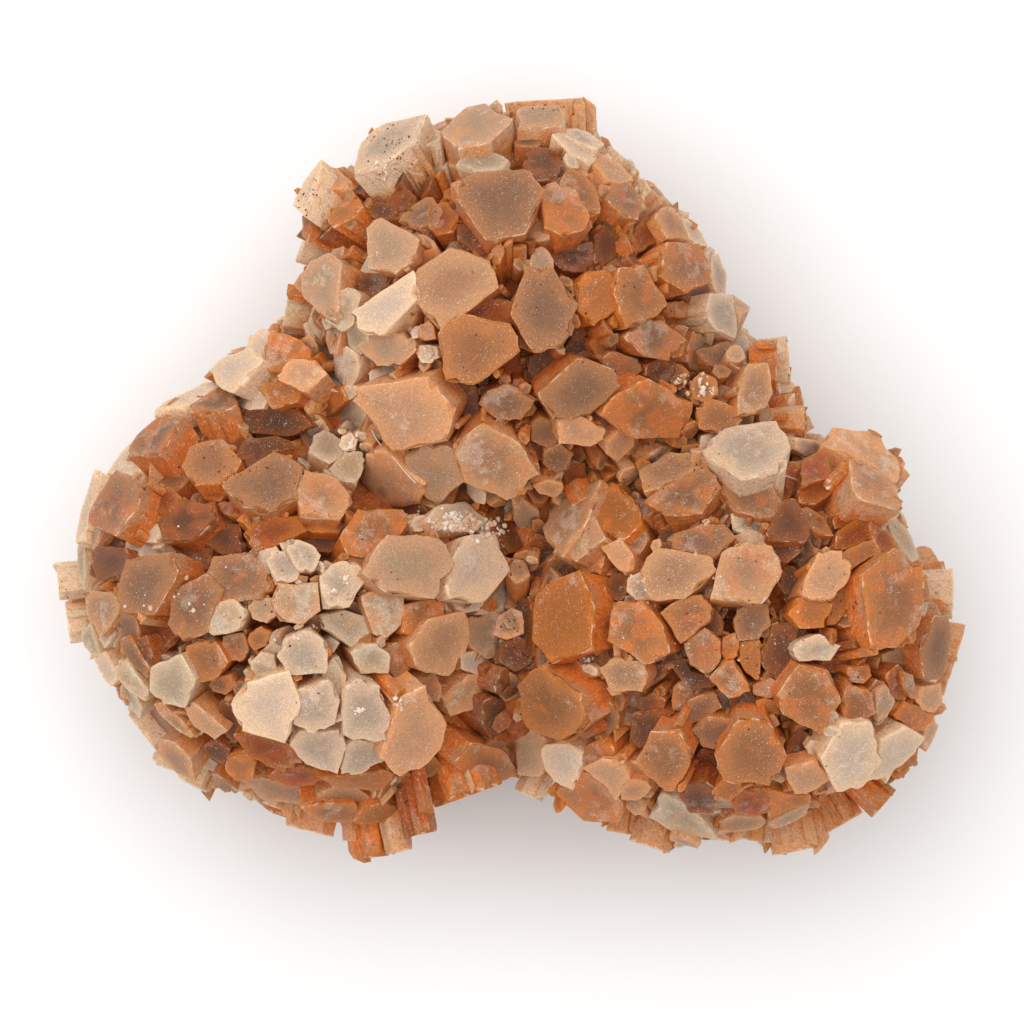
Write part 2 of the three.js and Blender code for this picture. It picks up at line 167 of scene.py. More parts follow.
fine_blank = Blank("fine_prism", SIDE_COLUMNS, (RIM_WIDTH, FACE_RING), BELTS)
small_blank = Blank("small_prism", SMALL_SIDE_COLUMNS, (RIM_WIDTH,), ())
tiny_blank = Blank("tiny_prism", TINY_SIDE_COLUMNS, (TINY_RIM_WIDTH,), ())

SEED = 11
dice = random.Random(SEED)
prisms = []
druse_prisms = []  # the tiny ones, which coat the gaps between the others


def mark(mesh, growth, tone, lot, girth):
    """What the finish reads: the way round and below the rim, the tone, a lot and the half width."""
    while mesh.uv_layers:
        mesh.uv_layers.remove(mesh.uv_layers[0])
    mesh.uv_layers.new(name="growth").data.foreach_set("uv", growth.ravel())
    for name, value in (("tone", TONES.index(tone)), ("lot", lot), ("girth", girth)):
        layer = mesh.attributes.new(name, "FLOAT", "FACE")
        layer.data.foreach_set("value", [value] * len(mesh.polygons))


def grow_prism(group, blank, tone, corners, back, taper, facing):
    """A copy of the blank with the given corners as its end face, run back to its narrower root."""
    corners = np.array(corners)
    centre = corners.mean(axis=0)
    spokes = corners - centre
    if np.cross(spokes, np.roll(spokes, -1, axis=0)).sum(axis=0) @ np.array(back) > 0:
        spokes = spokes[::-1]
    width = np.linalg.norm(spokes, axis=1).mean()
    length = np.linalg.norm(back)
    flutes = np.array([dice.uniform(*FLUTES) for _ in range(blank.columns)])
    flutes[:: blank.columns // CORNERS] *= CORNER_FLUTE
    chips = np.array([dice.random() ** CHIP_RARITY for _ in range(blank.columns)])[blank.column]
    section = blank.weights @ spokes * (1 + flutes[blank.column])[:, None]
    section *= (1 - CHIP_WIDTH * chips * blank.top)[:, None]
    belt_wear = np.array([dice.uniform(*BELT_WEAR) for _ in range(len(section))])
    section *= (1 + belt_wear * ~blank.top)[:, None]
    section *= (1 - (1 - taper) * blank.depth)[:, None]
    dome = dice.uniform(*DOME) * width
    grain = np.array([dice.uniform(-1, 1) for _ in range(len(section))]) * FACE_GRAIN * width
    drop = (blank.radius > RIM_RADIUS) * (RIM_DROP + CHIP_DEPTH * chips) * width
    relief = np.where(blank.top, dome * (1 - blank.radius**2) + grain - drop, 0)
    place = centre + section + blank.depth[:, None] * np.array(back)
    place += relief[:, None] * np.array(facing)

    mesh = blank.model.data.copy()
    mesh.name = "prism"
    mesh.vertices.foreach_set("co", place.astype(np.float32).ravel())
    round_the_prism = FULL_TURN * width
    below_rim = np.where(blank.top, (blank.radius - 1) * width, blank.depth * length)
    growth = np.empty((len(blank.loop_vertex), 2), np.float32)
    growth[:, 0] = blank.loop_turn * round_the_prism / MM
    growth[:, 1] = below_rim[blank.loop_vertex] / MM
    mark(mesh, growth, tone, lot=dice.random(), girth=width / MM)
    group.append(bpy.data.objects.new("prism", mesh))


# ---------------------------------------------------------------------------------------------
# The prisms that point up out of the balls. Each row is one prism: its tone, its rise in
# millimetres above the ball's radius, and the six corners of its end face on the plan grid.
# The ones that lie level round the edge follow: tone, level above the ball's middle, half width
# on the grid, and the plan points of root and tip.
# ---------------------------------------------------------------------------------------------

PLAN_STEP = 0.0625 * MM
PLAN_MIDDLE = (512, 478)
BALL_RADIUS = 14.06 * MM
BALL_HEIGHT = 14.6 * MM
SHOULDER_RADIUS = 8.6 * MM
VALLEY_RADIUS = 8.8 * MM
FLATTEST_SLOPE = math.radians(12)  # of an upright prism above the level
FLATTEST_FACE = math.radians(36)  # of its end face, whose slope would hide it from above
PRISM_DEPTH = 5 * MM  # from the ball's radius in to the prisms' roots
ROOT_TAPER = 0.72  # the width of a root, as a share of its end face's
LYING_FLATNESS = 0.75  # the height of a lying prism, as a share of its width
THINNEST_LYING = 1.1 * MM  # its least half height
LYING_ROOT = 0.43  # where it starts, as a share of the ball's radius
HEART_DEPTH = 2.7 * MM  # from a ball's radius down to the heart in which its prisms merge
TOUCHING = 1.08  # by which end faces are drawn out, so that neighbours touch
LEAST_STAND = 0.7 * MM  # of an end face above the hearts round it
END_CLEARANCE = 0.12 * MM  # between a large end face and a small one that is pushed below it

UPPER_BALL_PRISMS = [
    ("milk", 1.6, (354, 173), (363, 142), (374, 126), (424, 115), (414, 141), (376, 168)),
    ("cream", 1.8, (293, 203), (303, 182), (320, 160), (322, 165), (312, 192), (305, 215)),
    ("smoky", 0.8, (302, 235), (302, 216), (312, 192), (316, 197), (312, 215), (307, 240)),
    ("beige", 0.6, (299, 291), (305, 266), (328, 255), (341, 264), (334, 320), (318, 312)),
    ("beige", 0.8, (368, 230), (381, 219), (418, 240), (412, 260), (395, 273), (370, 268)),
    ("smoky", -0.2, (400, 222), (412, 207), (430, 197), (442, 212), (438, 224), (420, 230)),
    ("beige", 1.2, (442, 131), (464, 108), (484, 104), (511, 119), (490, 141), (459, 148)),
    ("beige", 0.8, (517, 118), (520, 107), (560, 104), (566, 125), (545, 127), (519, 128)),
    ("milk", 0.3, (563, 135), (572, 127), (590, 133), (603, 143), (597, 149), (578, 142)),
    ("peach", -0.6, (593, 160), (601, 155), (618, 163), (634, 180), (624, 183), (606, 182)),
    ("smoky", 0.0, (606, 198), (612, 186), (629, 182), (643, 200), (637, 219), (622, 214)),
    ("cream", -1.2, (642, 203), (645, 190), (652, 192), (660, 200), (652, 210), (646, 209)),
    ("smoky", 1.6, (458, 199), (463, 181), (522, 169), (542, 192), (524, 233), (486, 239)),
    ("tawny", 0.2, (561, 184), (567, 170), (581, 172), (597, 192), (599, 212), (570, 215)),
    ("tawny", 0.8, (541, 190), (556, 184), (577, 194), (592, 225), (566, 235), (546, 228)),
    ("umber", -1.6, (545, 255), (560, 247), (590, 243), (599, 254), (585, 272), (564, 271)),
    ("mauve", -1.4, (595, 235), (606, 228), (620, 238), (620, 253), (603, 266), (595, 262)),
    ("rust", -1.0, (630, 238), (645, 218), (655, 218), (664, 238), (650, 245), (638, 255)),
    ("rosy", 0.0, (656, 217), (664, 207), (674, 208), (683, 222), (690, 239), (668, 238)),
    ("cream", -0.2, (681, 217), (688, 219), (700, 229), (708, 245), (698, 244), (690, 239)),
    ("tawny", 0.8, (669, 243), (699, 245), (708, 262), (711, 280), (688, 292), (661, 276)),
    ("mauve", -0.8, (685, 297), (692, 288), (708, 284), (710, 292), (702, 308), (694, 306)),
    ("amber", -1.2, (667, 303), (683, 301), (690, 311), (684, 318), (671, 317), (665, 311)),
    ("milk", -0.2, (712, 257), (719, 254), (727, 273), (726, 291), (719, 297), (713, 280)),
    ("milk", 0.6, (707, 312), (712, 294), (732, 297), (737, 318), (736, 339), (718, 331)),
    ("smoky", -0.6, (688, 362), (694, 332), (710, 335), (722, 340), (716, 375), (698, 375)),
    ("smoky", 1.0, (512, 316), (528, 270), (553, 272), (576, 305), (563, 345), (535, 352)),
    ("beige", -0.2, (529, 268), (533, 251), (545, 248), (553, 262), (553, 272), (528, 272)),
    ("amber", 0.3, (578, 310), (577, 285), (588, 273), (612, 273), (618, 310), (594, 325)),
    ("tawny", 0.8, (615, 295), (620, 271), (643, 267), (667, 305), (655, 316), (628, 328)),
    ("smoky", 0.3, (626, 338), (645, 319), (664, 323), (686, 341), (668, 360), (644, 356)),
    ("umber", -2.0, (565, 350), (573, 337), (592, 340), (601, 350), (588, 357), (572, 356)),
    ("smoky", -0.8, (601, 360), (614, 352), (638, 361), (643, 371), (628, 383), (610, 374)),
    ("smoky", 1.2, (540, 394), (578, 360), (612, 372), (618, 387), (590, 416), (556, 420)),
    ("tawny", 1.2, (602, 416), (613, 401), (648, 381), (692, 404), (678, 438), (632, 438)),
    ("peach", 0.8, (559, 420), (580, 417), (604, 430), (602, 440), (590, 446), (560, 444)),
    ("smoky", -0.8, (530, 427), (541, 418), (556, 421), (560, 440), (548, 448), (532, 441)),
    ("smoky", -0.6, (545, 452), (560, 445), (573, 455), (566, 470), (552, 472), (543, 463)),
    ("smoky", -0.2, (480, 405), (488, 393), (508, 385), (535, 401), (520, 420), (498, 421)),
    ("umber", -1.4, (441, 392), (456, 381), (474, 386), (480, 402), (476, 420), (455, 412)),
    ("peach", 1.4, (356, 402), (361, 390), (428, 380), (452, 412), (444, 441), (394, 450)),
    ("rosy", 1.0, (455, 448), (484, 426), (518, 446), (536, 475), (506, 500), (466, 482)),
    ("beige", 0.4, (404, 458), (427, 446), (452, 450), (462, 482), (440, 503), (421, 495)),
    ("peach", 0.6, (360, 482), (368, 456), (383, 452), (424, 485), (418, 503), (389, 509)),
    ("sage", -1.6, (331, 415), (345, 402), (358, 396), (367, 425), (355, 431), (338, 425)),
    ("cream", -0.8, (340, 392), (346, 386), (355, 387), (357, 395), (350, 400), (342, 399)),
    ("amber", -1.0, (300, 405), (318, 390), (340, 388), (345, 402), (330, 415), (310, 428)),
    ("cream", 0.9, (353, 313), (372, 300), (412, 273), (416, 300), (384, 335), (363, 333)),
    ("rosy", 0.6, (412, 292), (420, 271), (450, 250), (487, 262), (496, 288), (441, 331)),
    ("beige", -0.2, (358, 347), (371, 335), (398, 332), (415, 350), (400, 366), (378, 366)),
    ("cream", -0.5, (416, 352), (420, 346), (437, 347), (440, 358), (430, 364), (422, 363)),
    ("tawny", 1.2, (439, 335), (462, 316), (508, 327), (518, 352), (475, 384), (448, 380)),
    ("rust", -0.6, (464, 314), (490, 297), (511, 303), (513, 326), (495, 324), (478, 319)),
    ("beige", -1.0, (513, 520), (515, 508), (522, 500), (538, 512), (540, 530), (527, 539)),
    ("peach", -0.4, (534, 487), (548, 481), (562, 485), (563, 490), (555, 498), (540, 494)),
    ("mauve", -1.5, (563, 472), (572, 462), (585, 465), (588, 480), (575, 490), (566, 485)),
    ("peach", 0.4, (320, 163), (336, 168), (350, 180), (344, 188), (322, 187), (317, 175)),
    ("mauve", -0.5, (456, 227), (475, 222), (486, 240), (486, 258), (470, 250), (458, 240)),
    ("umber", -0.6, (362, 274), (390, 276), (385, 290), (372, 300), (360, 292), (356, 282)),
    ("mauve", -0.5, (370, 206), (382, 202), (396, 208), (394, 218), (380, 221), (370, 214)),
    ("mauve", 0.0, (527, 152), (552, 148), (563, 162), (556, 178), (536, 180), (524, 166)),
    ("mauve", -0.6, (648, 366), (662, 358), (676, 370), (672, 382), (656, 384), (646, 376)),
    ("rust", -0.2, (428, 208), (446, 202), (458, 216), (452, 232), (436, 236), (426, 222)),
    ("umber", -1.8, (528, 358), (545, 352), (566, 360), (572, 378), (548, 388), (530, 376)),
]
# The lying prisms at the edge, here and in the other balls' tables, are mostly toned pale: partly
# their own colour, partly a painted glow of light passing through them from the bright floor.
UPPER_BALL_LYING = [
    ("peach", 0.5, 42, (548, 150), (545, 99)),
    ("cream", 0.5, 18, (598, 185), (622, 154)),
    ("sage", 2.0, 24, (350, 325), (284, 314)),
    ("cream", -1.0, 14, (345, 266), (299, 248)),
]

LEFT_BALL_PRISMS = [
    ("cream", 1.2, (152, 411), (165, 401), (205, 382), (217, 380), (219, 386), (190, 405)),
    ("smoky", 0.9, (190, 405), (219, 387), (233, 391), (236, 404), (222, 411), (192, 411)),
    ("smoky", 1.0, (128, 455), (131, 440), (157, 418), (184, 416), (170, 437), (160, 453)),
    ("smoky", 1.4, (89, 522), (92, 505), (116, 471), (142, 485), (137, 506), (116, 534)),
    ("cream", 1.0, (75, 541), (79, 515), (93, 471), (100, 473), (88, 520), (84, 538)),
    ("cream", 0.4, (106, 474), (116, 458), (128, 444), (140, 470), (128, 474), (116, 472)),
    ("umber", -1.5, (158, 470), (170, 460), (185, 449), (188, 462), (186, 478), (174, 484)),
    ("tawny", 0.2, (184, 466), (190, 447), (221, 438), (240, 460), (228, 480), (197, 484)),
    ("mauve", -0.2, (160, 520), (180, 501), (212, 504), (218, 518), (192, 540), (165, 541)),
    ("rust", -0.8, (201, 487), (215, 480), (225, 482), (228, 492), (220, 500), (205, 498)),
    ("rust", -1.0, (218, 503), (232, 500), (248, 508), (247, 515), (235, 517), (222, 512)),
    ("cream", -0.6, (141, 535), (147, 525), (158, 524), (162, 535), (155, 542), (147, 542)),
    ("umber", -1.4, (205, 530), (222, 521), (240, 525), (242, 550), (230, 556), (207, 545)),
    ("umber", -1.6, (175, 552), (190, 545), (212, 548), (208, 568), (195, 572), (178, 568)),
    ("mauve", 0.2, (92, 553), (100, 545), (125, 548), (131, 562), (120, 576), (97, 583)),
    ("sage", 0.2, (76, 562), (77, 545), (84, 537), (85, 560), (84, 590), (79, 580)),
    ("smoky", 1.6, (118, 598), (128, 560), (172, 553), (178, 572), (155, 613), (124, 609)),
    ("rosy", 0.0, (85, 599), (92, 592), (116, 592), (122, 612), (100, 635), (88, 617)),
    ("smoky", 0.8, (173, 592), (207, 575), (224, 590), (208, 630), (184, 640), (170, 622)),
    ("smoky", 0.4, (209, 573), (216, 557), (252, 553), (272, 580), (262, 597), (222, 600)),
    ("sage", 0.6, (205, 625), (215, 602), (235, 600), (248, 612), (240, 630), (215, 634)),
    ("beige", 0.2, (250, 607), (257, 597), (275, 598), (280, 612), (268, 622), (255, 618)),
    ("rust", -1.2, (148, 615), (165, 607), (172, 625), (180, 635), (165, 650), (148, 640)),
    ("tawny", 0.2, (187, 650), (198, 640), (216, 642), (228, 662), (215, 680), (198, 680)),
    ("sage", 0.8, (153, 668), (182, 655), (195, 680), (185, 706), (165, 702), (152, 690)),
    ("rust", -1.6, (188, 700), (200, 685), (210, 682), (215, 695), (222, 700), (210, 710)),
    ("smoky", 1.0, (225, 485), (275, 450), (302, 468), (297, 497), (270, 511), (246, 505)),
    ("rosy", 0.8, (297, 480), (305, 470), (338, 478), (352, 500), (340, 517), (303, 514)),
    ("sage", -0.4, (310, 450), (315, 436), (325, 430), (342, 440), (344, 457), (330, 462)),
    ("sage", -0.1, (330, 468), (345, 452), (362, 452), (365, 463), (358, 482), (340, 478)),
    ("tawny", 0.6, (343, 537), (360, 510), (402, 511), (409, 528), (378, 557), (350, 553)),
    ("beige", 1.6, (365, 572), (390, 536), (440, 540), (453, 563), (434, 597), (388, 590)),
    ("milk", 0.4, (268, 560), (275, 551), (290, 550), (300, 560), (300, 580), (277, 583)),
    ("milk", 0.8, (287, 550), (297, 540), (313, 544), (321, 555), (315, 570), (300, 570)),
    ("milk", 0.8, (322, 575), (338, 562), (358, 563), (366, 580), (350, 605), (326, 607)),
    ("rust", 0.0, (246, 533), (258, 520), (298, 516), (307, 530), (280, 543), (258, 550)),
    ("umber", -1.6, (305, 535), (320, 525), (340, 526), (343, 540), (330, 552), (310, 548)),
    ("beige", 0.6, (273, 600), (280, 585), (318, 583), (320, 610), (305, 622), (282, 620)),
    ("sage", -0.6, (320, 615), (345, 610), (370, 618), (372, 632), (352, 647), (325, 628)),
    ("beige", 0.2, (363, 597), (372, 592), (405, 597), (405, 618), (388, 638), (375, 632)),
    ("tawny", 0.3, (405, 605), (430, 599), (445, 603), (440, 625), (430, 640), (405, 632)),
    ("rosy", 0.9, (412, 645), (430, 620), (465, 612), (470, 645), (450, 674), (420, 668)),
    ("sage", 0.2, (352, 652), (362, 645), (378, 643), (390, 655), (388, 672), (362, 673)),
    ("smoky", -0.2, (382, 646), (398, 643), (412, 660), (408, 672), (395, 678), (388, 668)),
    ("milk", 1.8, (280, 655), (287, 638), (312, 630), (328, 645), (326, 672), (290, 672)),
    ("cream", 2.0, (234, 705), (250, 683), (290, 672), (300, 705), (285, 740), (245, 728)),
    ("milk", 1.6, (298, 690), (330, 680), (340, 700), (335, 722), (315, 733), (296, 722)),
    ("milk", 1.6, (345, 690), (358, 680), (380, 687), (390, 715), (385, 742), (345, 735)),
    ("milk", 1.0, (293, 745), (302, 730), (340, 730), (345, 745), (337, 772), (308, 765)),
    ("milk", 0.8, (345, 747), (360, 738), (382, 747), (382, 760), (362, 773), (343, 773)),
    ("sage", 1.0, (322, 668), (335, 658), (347, 675), (347, 697), (335, 695), (325, 685)),
    ("sage", 0.6, (252, 662), (262, 652), (275, 655), (278, 672), (262, 682), (254, 675)),
    ("peach", 2.0, (383, 757), (402, 700), (426, 688), (446, 725), (437, 757), (402, 776)),
    ("amber", 0.0, (320, 777), (345, 776), (380, 770), (395, 777), (380, 790), (340, 788)),
    ("rosy", -2.0, (242, 780), (262, 777), (305, 787), (318, 796), (318, 806), (262, 800)),
    ("rosy", -0.8, (318, 796), (335, 787), (358, 789), (370, 800), (352, 806), (320, 804)),
    ("tawny", -0.2, (302, 808), (325, 804), (355, 805), (362, 815), (352, 823), (322, 822)),
    ("rust", 0.3, (236, 735), (250, 730), (290, 742), (300, 762), (285, 770), (250, 757)),
    ("rust", -0.6, (270, 777), (285, 765), (315, 768), (320, 778), (315, 785), (290, 786)),
    ("umber", -1.2, (228, 750), (235, 743), (252, 755), (255, 762), (245, 764), (235, 760)),
    ("beige", 0.3, (185, 707), (195, 703), (215, 720), (228, 730), (215, 738), (195, 725)),
    ("rosy", 0.2, (155, 703), (165, 703), (188, 727), (194, 738), (180, 731), (160, 713)),
    ("mauve", -0.8, (203, 747), (215, 740), (230, 750), (230, 762), (220, 762), (208, 755)),
    ("sage", -2.2, (180, 748), (187, 743), (225, 768), (240, 785), (222, 775), (200, 766)),
    ("sage", 0.4, (116, 668), (125, 660), (148, 690), (145, 700), (130, 692), (118, 677)),
    ("smoky", 0.2, (121, 642), (130, 635), (150, 670), (148, 677), (136, 667), (125, 652)),
    ("mauve", 0.0, (138, 640), (147, 636), (157, 672), (154, 680), (146, 671), (139, 655)),
    ("cream", -0.8, (92, 655), (105, 653), (118, 678), (110, 686), (104, 680), (97, 668)),
    ("sage", -0.4, (80, 640), (82, 628), (90, 624), (99, 655), (93, 656), (86, 650)),
    ("peach", -0.4, (445, 697), (470, 676), (485, 677), (490, 692), (474, 709), (452, 715)),
    ("umber", -1.8, (447, 722), (460, 714), (475, 718), (470, 730), (458, 733), (448, 730)),
    ("umber", -1.2, (441, 742), (460, 728), (468, 735), (460, 747), (450, 752), (441, 752)),
    ("mauve", -1.5, (485, 668), (492, 664), (500, 672), (497, 683), (490, 686), (485, 680)),
    ("mauve", -1.8, (495, 685), (505, 668), (515, 675), (516, 690), (505, 695), (497, 693)),
    ("tawny", 1.7, (455, 765), (473, 745), (503, 750), (516, 770), (512, 778), (483, 786)),
    ("cream", 1.2, (446, 580), (466, 538), (497, 533), (510, 570), (484, 600), (453, 597)),
    ("cream", 0.2, (454, 599), (485, 600), (480, 610), (466, 612), (458, 609), (454, 604)),
    ("cream", -0.6, (478, 614), (500, 584), (512, 583), (527, 597), (515, 611), (485, 614)),
    ("beige", -0.2, (468, 620), (495, 612), (518, 622), (513, 648), (488, 658), (469, 642)),
    ("cream", 0.0, (411, 525), (416, 516), (425, 515), (431, 524), (422, 531), (415, 531)),
    ("cream", 0.8, (430, 517), (440, 505), (465, 502), (488, 520), (470, 531), (440, 529)),
    ("umber", -2.0, (490, 522), (500, 505), (513, 510), (515, 535), (530, 545), (510, 552)),
    ("cream", -0.5, (462, 655), (478, 650), (490, 657), (487, 668), (478, 676), (463, 668)),
    ("umber", -0.4, (168, 426), (190, 420), (206, 430), (198, 444), (178, 448), (164, 440)),
    ("mauve", -0.6, (243, 440), (276, 436), (298, 446), (272, 450), (250, 468), (238, 456)),
    ("amber", -0.5, (302, 516), (330, 517), (346, 524), (340, 532), (315, 532), (300, 525)),
    ("rust", -0.3, (152, 486), (172, 488), (182, 500), (170, 514), (154, 512), (148, 498)),
    ("smoky", -0.4, (224, 636), (244, 633), (250, 648), (244, 660), (230, 660), (222, 648)),
    ("tawny", -0.3, (252, 632), (262, 626), (272, 632), (267, 645), (256, 650), (249, 641)),
    ("smoky", -0.5, (213, 678), (232, 674), (238, 686), (226, 694), (214, 690), (210, 684)),
    ("mauve", -0.6, (222, 702), (236, 706), (244, 732), (234, 744), (224, 730), (219, 714)),
    ("sage", -0.3, (262, 652), (274, 640), (284, 650), (280, 668), (268, 672), (258, 662)),
    ("amber", -0.6, (228, 758), (244, 752), (256, 762), (252, 778), (238, 782), (226, 770)),
    ("umber", -2.2, (485, 702), (498, 698), (512, 708), (510, 730), (494, 740), (484, 724)),
]
LEFT_BALL_LYING = [
    ("cream", 0.0, 30, (205, 685), (142, 735)),
    ("cream", -2.0, 18, (222, 725), (190, 786)),
    ("cream", 1.5, 17, (110, 580), (57, 584)),
    ("cream", 0.5, 23, (110, 616), (66, 622)),
    ("rust", 4.5, 16, (405, 745), (423, 834)),
    ("amber", 3.0, 37, (447, 735), (469, 796)),
    ("peach", 0.5, 26, (320, 785), (308, 832)),
    ("peach", 0.5, 10, (352, 795), (351, 842)),
    ("amber", 1.5, 14, (368, 795), (375, 858)),
    ("peach", 2.5, 15, (385, 785), (400, 852)),
    ("cream", 0.0, 17, (280, 770), (267, 806)),
]

